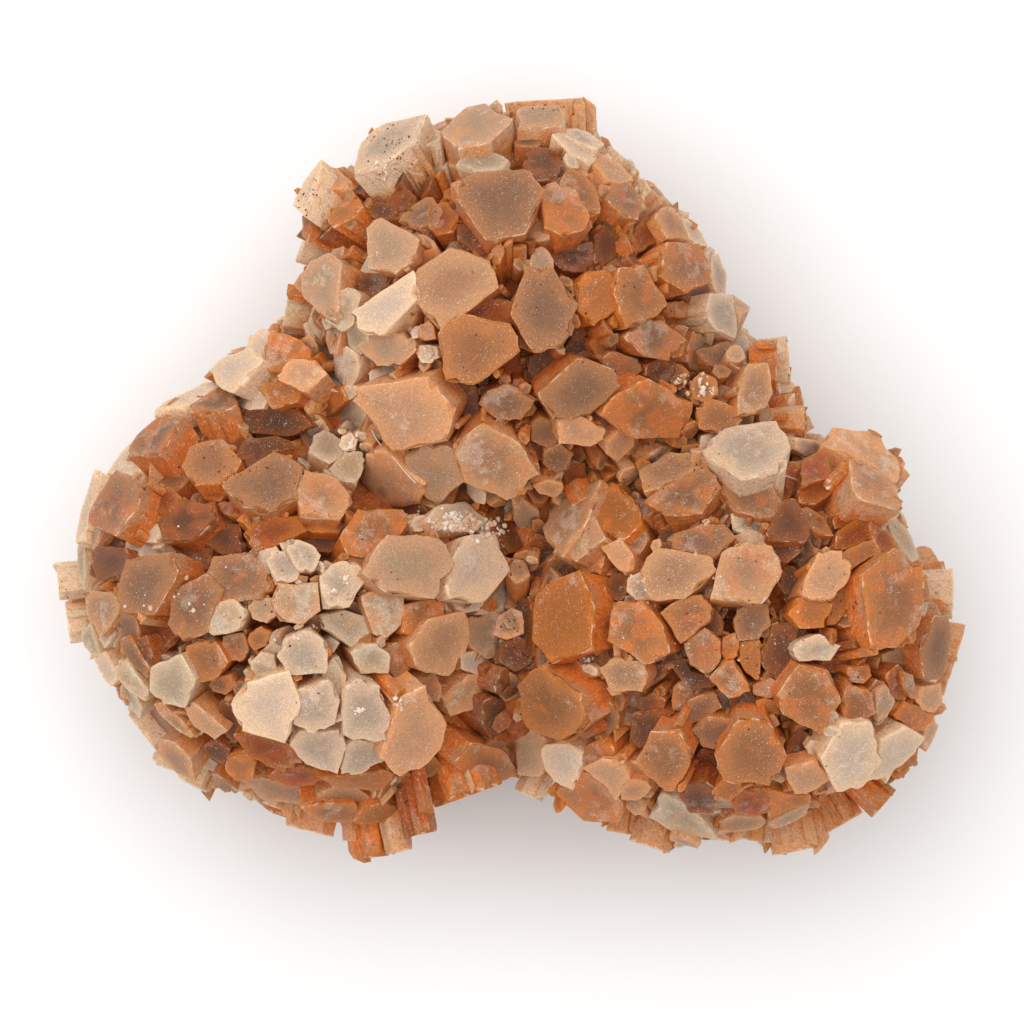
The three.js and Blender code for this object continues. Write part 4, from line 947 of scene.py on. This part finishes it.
def model_heart(ball):
    bpy.ops.object.select_all(action="DESELECT")
    bpy.ops.mesh.primitive_ico_sphere_add(
        subdivisions=HEART_SUBDIVISIONS, radius=ball.radius - HEART_DEPTH, location=ball.middle
    )
    bpy.ops.object.transform_apply(location=True, rotation=True, scale=True)
    bpy.ops.object.mode_set(mode="EDIT")
    bpy.ops.mesh.select_all(action="SELECT")
    bpy.ops.transform.vertex_random(offset=HEART_GRAIN, normal=1, seed=3)
    bpy.ops.object.mode_set(mode="OBJECT")
    heart = bpy.context.object
    growth = np.tile(np.array(HEART_PLACE, np.float32), (len(heart.data.loops), 1))
    mark(heart.data, growth, "umber", lot=0.5, girth=1)
    return heart


def grow_together(name, parts):
    """One closed solid out of overlapping ones."""
    whole = parts[0]
    whole.name = name
    rest = bpy.data.collections.new(name)
    bpy.context.scene.collection.children.link(rest)
    for part in parts[1:]:
        if part.users_collection:
            bpy.context.scene.collection.objects.unlink(part)
        rest.objects.link(part)
    if not whole.users_collection:
        bpy.context.scene.collection.objects.link(whole)
    join = whole.modifiers.new("grown_together", "BOOLEAN")
    join.operation = "UNION"
    join.operand_type = "COLLECTION"
    join.collection = rest
    join.solver = "MANIFOLD"
    bpy.ops.object.select_all(action="DESELECT")
    bpy.context.view_layer.objects.active = whole
    whole.select_set(True)
    bpy.ops.object.modifier_apply(modifier=join.name)
    for part in list(rest.objects):
        bpy.data.objects.remove(part)
    bpy.data.collections.remove(rest)
    bpy.ops.object.shade_smooth_by_angle(angle=SMOOTH_UNDER)
    return whole


cluster = grow_together("aragonite_crystals", [model_heart(ball) for ball in balls] + prisms)
druse = grow_together("aragonite_druse", druse_prisms)
for blank in (fine_blank, small_blank, tiny_blank):
    bpy.data.objects.remove(blank.model)

# How sheltered each corner is: it drives the iron stain and the painted shade of the hollows.
SHELTER_REACH = 3 * MM  # how far away a neighbour still shelters a spot of a crystal
SHELTER_RAYS = 16
SKIN = 0.04 * MM  # how far off the surface a ray starts

depsgraph = bpy.context.evaluated_depsgraph_get()
crystal_trees = [BVHTree.FromObject(piece, depsgraph) for piece in (cluster, druse)]


def measure_shelter(piece):
    """How much of the open air round each corner is taken up by neighbours, from 0 to 1."""
    rays = []
    for i in range(SHELTER_RAYS):
        height = 1 - (2 * i + 1) / SHELTER_RAYS
        across = math.sqrt(1 - height**2)
        angle = i * GOLDEN_TURN
        rays.append(Vector((math.cos(angle) * across, math.sin(angle) * across, height)))
    mesh = piece.data
    shelter = np.empty(len(mesh.vertices), np.float32)
    for number, vertex in enumerate(mesh.vertices):
        start = vertex.co + vertex.normal * SKIN
        open_air = NEAR_ZERO
        taken = 0
        for ray in rays:
            facing = ray.dot(vertex.normal)
            outward = -ray if facing < 0 else ray
            open_air += abs(facing)
            hits = (tree.ray_cast(start, outward, SHELTER_REACH)[0] for tree in crystal_trees)
            if any(hit is not None for hit in hits):
                taken += abs(facing)
        shelter[number] = taken / open_air
    mesh.attributes.new("shelter", "FLOAT", "POINT").data.foreach_set("value", shelter)


measure_shelter(cluster)
measure_shelter(druse)


class Signal:
    """A number at a shader socket, so that shader maths is written as Python."""

    def __init__(self, tree, socket):
        self.tree = tree
        self.socket = socket

    def maths(self, operation, *values):
        node = self.tree.nodes.new("ShaderNodeMath")
        node.operation = operation
        for slot, value in zip(node.inputs, values):
            if isinstance(value, Signal):
                self.tree.links.new(value.socket, slot)
            else:
                slot.default_value = value
        return Signal(self.tree, node.outputs[0])

    def __add__(self, other):
        return self.maths("ADD", self, other)

    __radd__ = __add__

    def __sub__(self, other):
        return self.maths("SUBTRACT", self, other)

    def __rsub__(self, other):
        return self.maths("SUBTRACT", other, self)

    def __mul__(self, other):
        return self.maths("MULTIPLY", self, other)

    __rmul__ = __mul__

    def __truediv__(self, other):
        return self.maths("DIVIDE", self, other)

    def __abs__(self):
        return self.maths("ABSOLUTE", self)


MIX_COLOUR = {"data_type": "RGBA", "clamp_factor": True}
MIX_SOCKETS = (0, 6, 7)  # factor, first and second colour
MIX_RESULT = 2
OBJECT_PLACE = 3  # the output of a Texture Coordinate node
ATTRIBUTE_VALUE = 2  # the output of an Attribute node


class Finish:
    """A material, its shader, and the one way in which nodes are added to it."""

    def __init__(self, name, **constants):
        self.material = bpy.data.materials.new(name)
        self.material.use_nodes = True
        self.tree = self.material.node_tree
        self.shader = self.tree.nodes["Principled BSDF"]
        for socket, value in constants.items():
            self.shader.inputs[socket.replace("_", " ")].default_value = value

    def node(self, kind, settings=None, values=None, output=0):
        made = self.tree.nodes.new(kind)
        for name, value in (settings or {}).items():
            if name == "stops":
                self.set_stops(made.color_ramp, value)
            else:
                setattr(made, name, value)
        for name, value in (values or {}).items():
            self.feed(made.inputs[name], value)
        return Signal(self.tree, made.outputs[output])

    def set_stops(self, ramp, stops):
        """One flat colour from each stop to the next."""
        ramp.interpolation = "CONSTANT"
        while len(ramp.elements) < len(stops):
            ramp.elements.new(0.5)
        for element, (position, colour) in zip(ramp.elements, stops):
            element.position = position
            element.color = colour

    def feed(self, socket, value):
        if isinstance(value, Signal):
            self.tree.links.new(value.socket, socket)
        else:
            socket.default_value = value

    def blend(self, factor, first, second):
        values = dict(zip(MIX_SOCKETS, (factor, first, second)))
        return self.node("ShaderNodeMix", MIX_COLOUR, values, MIX_RESULT)

    def step(self, value, low, high):
        """0 below low, 1 above high, and smooth between."""
        values = {"Value": value, "From Min": low, "From Max": high}
        return self.node("ShaderNodeMapRange", {"interpolation_type": "SMOOTHSTEP"}, values)

    def tint(self, colour, saturation, value):
        values = {"Saturation": saturation, "Value": value, "Color": colour}
        return self.node("ShaderNodeHueSaturation", None, values)

    def noise(self, place, scale, detail=2, roughness=0.5):
        """Clouds of 1 / scale millimetres, where the place is in millimetres."""
        values = {"Vector": place, "Scale": scale, "Detail": detail, "Roughness": roughness}
        return self.node("ShaderNodeTexNoise", None, values)

    def millimetres(self):
        """The place on the object, in millimetres."""
        place = self.node("ShaderNodeTexCoord", output=OBJECT_PLACE)
        return self.node("ShaderNodeVectorMath", {"operation": "SCALE"}, {0: place, "Scale": 1 / MM})

    def attribute(self, name):
        return self.node("ShaderNodeAttribute", {"attribute_name": name}, output=ATTRIBUTE_VALUE)

    def paint(self, colour):
        self.feed(self.shader.inputs["Base Color"], colour)

    def roughen(self, height, strength, distance):
        values = {"Strength": strength, "Distance": distance, "Height": height}
        self.feed(self.shader.inputs["Normal"], self.node("ShaderNodeBump", None, values))


def rgb(code):
    """The linear colour of a screen colour written as six hexadecimal digits."""
    channels = [int(code[i : i + 2], 16) / 255 for i in (0, 2, 4)]
    linear = [c / 12.92 if c <= 0.04045 else ((c + 0.055) / 1.055) ** 2.4 for c in channels]
    return (*linear, 1)


# Each tone's end face at its middle, its end face at the rim, and its sides. The middle is darker
# than the rim: painted shade of the deep core against a painted glow through the thin rim.
TONE_COLOURS = {
    "umber": ("583116", "7e4412", "9a4215"),
    "mauve": ("663615", "84491d", "c15d20"),
    "rust": ("8a3c04", "a6580c", "c35515"),
    "smoky": ("845a3c", "a56e45", "dc762d"),
    "tawny": ("955e34", "b4713d", "e6782a"),
    "amber": ("a7632a", "b76b2d", "f48028"),
    "rosy": ("a47553", "c38d62", "dd8444"),
    "beige": ("aa8766", "c4936f", "dd9255"),
    "sage": ("aa9175", "cbae8f", "cf9c68"),
    "peach": ("bd8b65", "d79869", "f0a262"),
    "milk": ("b0967f", "d3b093", "e6bb8c"),
    "cream": ("cdb098", "e6bf9c", "f3c595"),
}
MILK_CLOUD = rgb("e6cfb8")
PAINTED_GAP_SHADE = rgb("4f3f31")
DRY_FIBRE = rgb("f3dcc0")
PALE_CRUMB = rgb("f0c196")
RUSTY_CRUMB = rgb("b45a22")
RUST_WASH = rgb("de7c34")
DEEP_RUST_AND_SHADE = rgb("944a20")
PAINTED_HOLLOW_SHADE = rgb("38201a")
PAINTED_EDGE_HIGHLIGHT = rgb("f8e4ce")
PAINTED_GLINT = rgb("fff6ec")
BUMP_DEPTH = 0.12 * MM

crystal = Finish(
    "frosted_aragonite",
    Roughness=0.45,
    IOR=1.6,
    Specular_IOR_Level=0.3,
    Subsurface_Weight=0.2,
    Subsurface_Radius=(1.0, 0.5, 0.28),
    Subsurface_Scale=2 * MM,
)
growth = crystal.node("ShaderNodeUVMap", {"uv_map": "growth"})
# Millimetres round the prism, and down from its rim: an end face has values below 0.
around = crystal.node("ShaderNodeSeparateXYZ", None, {0: growth}, output=0)
below = crystal.node("ShaderNodeSeparateXYZ", None, {0: growth}, output=1)
tone = crystal.attribute("tone")
lot = crystal.attribute("lot")
girth = crystal.attribute("girth")
shelter = crystal.attribute("shelter")
paleness = tone / len(TONES)
spot = crystal.millimetres()


def tone_ramp(which):
    stops = [(i / len(TONES), rgb(TONE_COLOURS[name][which])) for i, name in enumerate(TONES)]
    return crystal.node("ShaderNodeValToRGB", {"stops": stops}, {0: (tone + 0.5) / len(TONES)})


centre_colour = tone_ramp(0)
rim_colour = tone_ramp(1)
side_colour = tone_ramp(2)
# The rim colour brightened: a painted glow of light through the thin rim, laid along the end face's
# rim and down the sides under it.
lit_rim = crystal.tint(rim_colour, saturation=1.08, value=1.22)

clouds = crystal.noise(spot, 0.42, detail=2, roughness=0.55)  # 2 mm across
blotches = crystal.noise(spot, 0.75, detail=1, roughness=0.5)
wisps = crystal.noise(spot, 1.7, detail=3, roughness=0.65)  # half a millimetre
grains = crystal.noise(spot, 5, detail=2, roughness=0.7)
powder = crystal.noise(spot, 11, detail=2, roughness=0.85)  # under a tenth of a millimetre

# The end face: darker at its middle, painted shade of the deep core, and paler towards its lit
# rim, a painted glow through the thin edge, with milky clouds, blotches of its sides' colour and
# painted shade where it is sheltered.
inward = (0 - below) / girth
painted_core_shade = crystal.step(inward + (wisps - 0.5) * 0.5 + (clouds - 0.5) * 0.9, low=0.0, high=0.72)
face = crystal.blend(painted_core_shade, rim_colour, centre_colour)
milk = crystal.step(clouds + (wisps - 0.5) * 0.7 + (lot - 0.5) * 0.25, low=0.58, high=0.76)
face = crystal.blend(milk * (0.14 + 0.34 * paleness), face, MILK_CLOUD)
off_rim = crystal.step(0 - below, low=0.0, high=0.4)
# A band along the rim takes the lit rim colour: painted glow.
face = crystal.blend((1 - off_rim) * 0.6, face, lit_rim)
blotch = crystal.step(blotches + (lot - 0.5) * 0.3, low=0.54, high=0.72)
face = crystal.blend(blotch * 0.35, face, side_colour)
# Sheltered parts of the end face darken to a dark grey-brown: painted shade of the gaps.
face = crystal.blend(crystal.step(shelter, low=0.5, high=1.0) * 0.7, face, PAINTED_GAP_SHADE)

# The sides: crumbly bundles of fibres, pale where they stand free and rust-stained lower down,
# the more so the darker the crystal is. The most sheltered parts also get painted shade, from deep
# rust to near black, and the sides just under the rim a painted glow.
bundle = {"X": around * 2.8, "Y": below * 2.1, "Z": lot * 90}
bundle = crystal.node("ShaderNodeCombineXYZ", None, bundle)
crumbs = crystal.noise(bundle, 1, detail=2, roughness=0.85)
stain_and_shade = shelter + (wisps - 0.5) * 0.7 + (clouds - 0.5) * 0.4 - 0.3 * (paleness * paleness)
free = crystal.blend(0.25, rim_colour, DRY_FIBRE)
side = crystal.blend(crystal.step(stain_and_shade, low=0.02, high=0.4), free, side_colour)
side = crystal.blend(crystal.step(crumbs, low=0.53, high=0.68) * 0.38, side, PALE_CRUMB)
side = crystal.blend((1 - crystal.step(crumbs, low=0.32, high=0.47)) * 0.5, side, RUSTY_CRUMB)
side = crystal.blend(crystal.step(stain_and_shade, low=0.3, high=0.7) * 0.5, side, RUST_WASH)
# The most sheltered sides go deep rust, partly iron stain and partly painted shade, then near black,
# painted shade of the hollows.
side = crystal.blend(crystal.step(stain_and_shade, low=0.68, high=1.0) * 0.65, side, DEEP_RUST_AND_SHADE)
side = crystal.blend(crystal.step(stain_and_shade, low=0.95, high=1.2) * 0.7, side, PAINTED_HOLLOW_SHADE)
# Just under the rim the sides take the lit rim colour: a painted glow of light through the thin end of
# the prism.
under_rim = crystal.step(below + (wisps - 0.5) * 1.2, low=0.2, high=1.5)
side = crystal.blend((1 - under_rim) * 0.55, side, lit_rim)
on_side = crystal.step(below, low=0.0, high=0.1)
colour = crystal.blend(on_side, face, side)

# Frost: fine grain in value all over, then painted light: a painted highlight as a broken bright
# line along each large rim, and painted glints as sparkles.
lumps = crumbs * on_side + 0.5 - 0.5 * on_side
value = 0.4 * grains + 1.25 * powder + 0.16 * wisps + 0.35 * lumps - 0.08
colour = crystal.tint(colour, saturation=1, value=value)
off_edge = crystal.step(abs(below), low=0.015, high=0.065)
edge = (1 - off_edge) * crystal.step(wisps, low=0.46, high=0.58)
large = crystal.step(girth, low=0.6, high=1.3)
# Painted highlight: a bright line along the rims of large, open prisms.
colour = crystal.blend(edge * large * 0.6 * (1 - shelter), colour, PAINTED_EDGE_HIGHLIGHT)
# Painted glints: bright specks of light, more of them in the clouded patches.
glint_patches = crystal.step(clouds + wisps, low=0.8, high=1.16)
sparkle = crystal.step(powder + 0.06 * glint_patches + 0.2 * (grains - 0.5), low=0.69, high=0.76)
crystal.paint(crystal.blend(sparkle * 0.85, colour, PAINTED_GLINT))
height = powder * (0.9 + 0.7 * on_side) + crumbs * on_side * 1.6
crystal.roughen(height, strength=0.75, distance=BUMP_DEPTH)
crystal.feed(crystal.shader.inputs["Roughness"], 0.3 + 0.35 * grains)


def dress(piece, finish):
    piece.data.materials.clear()
    piece.data.materials.append(finish.material)
    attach(piece, "root")
    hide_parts("aragonite_cluster")


dress(cluster, crystal)
dress(druse, crystal)

# ---------------------------------------------------------------------------------------------
# What lies on the crystals. White calcite crust dried as chalky crumbs in the hollows, and iron
# rust settled as dark grains. A crumb is modelled once, and each copy is turned, scaled and set
# down at its place on the plan grid.
# ---------------------------------------------------------------------------------------------

# Each row is one patch: its middle and half widths on the plan grid, and its number of crumbs.
CRUST_PATCHES = [
    ((455, 521), (28, 11), 170), ((482, 529), (20, 12), 90), ((351, 443), (8, 8), 16),
    ((637, 584), (12, 14), 22), ((702, 387), (12, 11), 24), ((399, 705), (9, 10), 16),
    ((359, 709), (9, 6), 10), ((827, 487), (5, 4), 6), ((705, 522), (5, 5), 6),
    ((681, 382), (9, 8), 14), ((385, 170), (10, 7), 10), ((425, 352), (9, 6), 12),
    ((590, 660), (7, 6), 8), ((345, 585), (16, 18), 14), ((300, 636), (24, 10), 12),
    ((190, 600), (60, 60), 16), ((760, 600), (80, 80), 20),
]
RUST_PATCHES = [
    ((388, 148), (34, 36), 70), ((548, 108), (40, 7), 22), ((310, 200), (12, 40), 24),
    ((700, 762), (18, 16), 30), ((520, 560), (22, 26), 30), ((410, 806), (26, 34), 26),
    ((64, 600), (8, 34), 16), ((845, 610), (26, 40), 24), ((250, 470), (60, 30), 40),
    ((665, 480), (60, 40), 40), ((560, 330), (120, 100), 70), ((300, 600), (130, 110), 80),
    ((740, 640), (130, 120), 90), ((515, 640), (14, 60), 30),
]
CRUMB_SIZES = (0.07 * MM, 0.27 * MM)
GRAIN_SIZES = (0.04 * MM, 0.11 * MM)
CRUMB_FLATNESS = (0.5, 0.9)
CRUMB_UNEVENNESS = 0.35
PATCH_SPREAD = 0.5  # of the crumbs, as a share of a patch's half widths
OVERHEAD = 50 * MM


def crystal_under(point):
    """The highest spot of the crystals at a point of the plan grid, or None beside them."""
    spots = []
    for tree in crystal_trees:
        place = tree.ray_cast(on_plan(point, OVERHEAD), Vector((0, 0, -1)))[0]
        if place is not None:
            spots.append(place)
    return max(spots, key=lambda place: place.z) if spots else None


def model_crumb(name):
    bpy.ops.object.select_all(action="DESELECT")
    bpy.ops.mesh.primitive_ico_sphere_add(subdivisions=1, radius=1, location=(0, 0, 0))
    bpy.ops.object.mode_set(mode="EDIT")
    bpy.ops.mesh.select_all(action="SELECT")
    bpy.ops.transform.vertex_random(offset=CRUMB_UNEVENNESS, normal=0.4, seed=5)
    bpy.ops.object.mode_set(mode="OBJECT")
    crumb = bpy.context.object
    crumb.name = name
    return crumb


def scatter(crumb, patches, sizes):
    """Copies of a crumb over all patches, thickest at each patch's middle, as one piece."""
    copies = []
    for (across, down), (half_width, half_height), count in patches:
        for _ in range(count):
            across_shift = dice.gauss(0, PATCH_SPREAD) * half_width
            down_shift = dice.gauss(0, PATCH_SPREAD) * half_height
            turn = [dice.uniform(0, FULL_TURN) for _ in range(3)]
            size = sizes[0] + (sizes[1] - sizes[0]) * dice.random() ** 2
            flatness = dice.uniform(*CRUMB_FLATNESS)
            under = crystal_under((across + across_shift, down + down_shift))
            if under is None:
                continue
            copy = bpy.data.objects.new(crumb.name, crumb.data.copy())
            copy.location = under
            copy.rotation_euler = turn
            copy.scale = (size, size * flatness, size * flatness)
            bpy.context.scene.collection.objects.link(copy)
            copies.append(copy)
    name = crumb.name
    bpy.data.objects.remove(crumb)
    bpy.ops.object.select_all(action="DESELECT")
    for copy in copies:
        copy.select_set(True)
    bpy.context.view_layer.objects.active = copies[0]
    bpy.ops.object.join()
    piece = bpy.context.object
    piece.name = name
    bpy.ops.object.transform_apply(location=True, rotation=True, scale=True)
    return piece


crust = scatter(model_crumb("aragonite_crust"), CRUST_PATCHES, CRUMB_SIZES)
grit = scatter(model_crumb("aragonite_grains"), RUST_PATCHES, GRAIN_SIZES)

CHALK_DUSTY = rgb("d6ab88")
CHALK_WHITE = rgb("f1e2d0")
CHALK_STAIN = rgb("c08a62")
chalk = Finish("chalky_crust", Roughness=0.85, Specular_IOR_Level=0.2)
chalk_clouds = chalk.noise(chalk.millimetres(), 1.3, detail=2, roughness=0.6)
chalk_grain = chalk.noise(chalk.millimetres(), 12, detail=2, roughness=0.8)
powdery = chalk.blend(chalk.step(chalk_clouds, low=0.4, high=0.62), CHALK_DUSTY, CHALK_WHITE)
chalk.paint(chalk.blend(chalk.step(chalk_grain, low=0.5, high=0.7) * 0.4, powdery, CHALK_STAIN))
chalk.roughen(chalk_grain, strength=0.6, distance=0.1 * MM)
dress(crust, chalk)

RUST_DARK = rgb("4a200e")
RUST_BRIGHT = rgb("93491c")
rust = Finish("iron_rust", Roughness=0.9, Specular_IOR_Level=0.2)
rust_grain = rust.noise(rust.millimetres(), 9, detail=2, roughness=0.7)
rust.paint(rust.blend(rust.step(rust_grain, low=0.4, high=0.62), RUST_DARK, RUST_BRIGHT))
dress(grit, rust)

# ---------------------------------------------------------------------------------------------
# A dust fibre: one pale textile hair, caught between the upper and the left ball. It lies over
# the crystals there in a shallow bend.
# ---------------------------------------------------------------------------------------------

FIBRE_BENDS = [(372, 430), (378, 444), (389, 452), (399, 463), (407, 475), (416, 483)]
FIBRE_RADIUS = 0.03 * MM
FIBRE_LIFT = 0.25 * MM  # of its bends above the crystals

bpy.ops.object.select_all(action="DESELECT")
bpy.ops.curve.primitive_nurbs_path_add(location=(0, 0, 0))
fibre = bpy.context.object
fibre.name = "aragonite_fibre"
line = fibre.data.splines[0]
line.points.add(len(FIBRE_BENDS) - len(line.points))
for bend, knot in zip(FIBRE_BENDS, line.points):
    knot.co = (*(crystal_under(bend) + Vector((0, 0, FIBRE_LIFT))), 1)
fibre.data.bevel_depth = FIBRE_RADIUS
fibre.data.bevel_resolution = 1
bpy.ops.object.convert(target="MESH")
bpy.ops.object.shade_smooth()

LINT_GREY = rgb("d9c3ae")
LINT_WHITE = rgb("fbf4ea")
lint = Finish("dust_fibre", Roughness=0.6)
lint.paint(lint.blend(lint.noise(lint.millimetres(), 3), LINT_GREY, LINT_WHITE))
dress(fibre, lint)

# ---------------------------------------------------------------------------------------------
# The studio: a plain white floor, soft light from a wide box overhead and from all round, and
# a camera high above with a long lens.
# ---------------------------------------------------------------------------------------------

FLOOR_SIZE = 3
AIR_STRENGTH = 0.6
BOX_PLACE = (-0.09, 0.12, 0.6)
BOX_SIZE = 0.75
BOX_WATTS = 4.1
CAMERA_HEIGHT = 1.5
FRAME_STEPS = 1024  # the width of the frame on the plan grid
SHARP_LEVEL = 20 * MM  # the height at which that width is true
SENSOR_WIDTH = 36
FARTHEST_SEEN = 10

bpy.ops.object.select_all(action="DESELECT")
bpy.ops.mesh.primitive_plane_add(size=FLOOR_SIZE, location=(0, 0, 0))
floor = bpy.context.object
floor.name = "studio_floor"
paper = Finish("white_paper", Base_Color=rgb("f4f4f4"), Roughness=0.8)
floor.data.materials.append(paper.material)

world = bpy.data.worlds.new("studio_air")
world.use_nodes = True
world.node_tree.nodes["Background"].inputs["Color"].default_value = (1, 1, 1, 1)
world.node_tree.nodes["Background"].inputs["Strength"].default_value = AIR_STRENGTH
bpy.context.scene.world = world

overhead_box = bpy.data.objects.new("overhead_box", bpy.data.lights.new("overhead_box", "AREA"))
overhead_box.data.size = BOX_SIZE
overhead_box.data.energy = BOX_WATTS
overhead_box.location = BOX_PLACE
overhead_box.rotation_euler = (-Vector(BOX_PLACE)).to_track_quat("-Z", "Y").to_euler()
bpy.context.scene.collection.objects.link(overhead_box)

camera = bpy.data.objects.new("camera", bpy.data.cameras.new("camera"))
camera.data.sensor_width = SENSOR_WIDTH
camera.data.lens = SENSOR_WIDTH * (CAMERA_HEIGHT - SHARP_LEVEL) / (FRAME_STEPS * PLAN_STEP)
camera.data.clip_end = FARTHEST_SEEN
camera.location = on_plan((FRAME_STEPS / 2, FRAME_STEPS / 2), CAMERA_HEIGHT)
bpy.context.scene.collection.objects.link(camera)
bpy.context.scene.camera = camera
bpy.context.scene.view_settings.view_transform = "Standard"
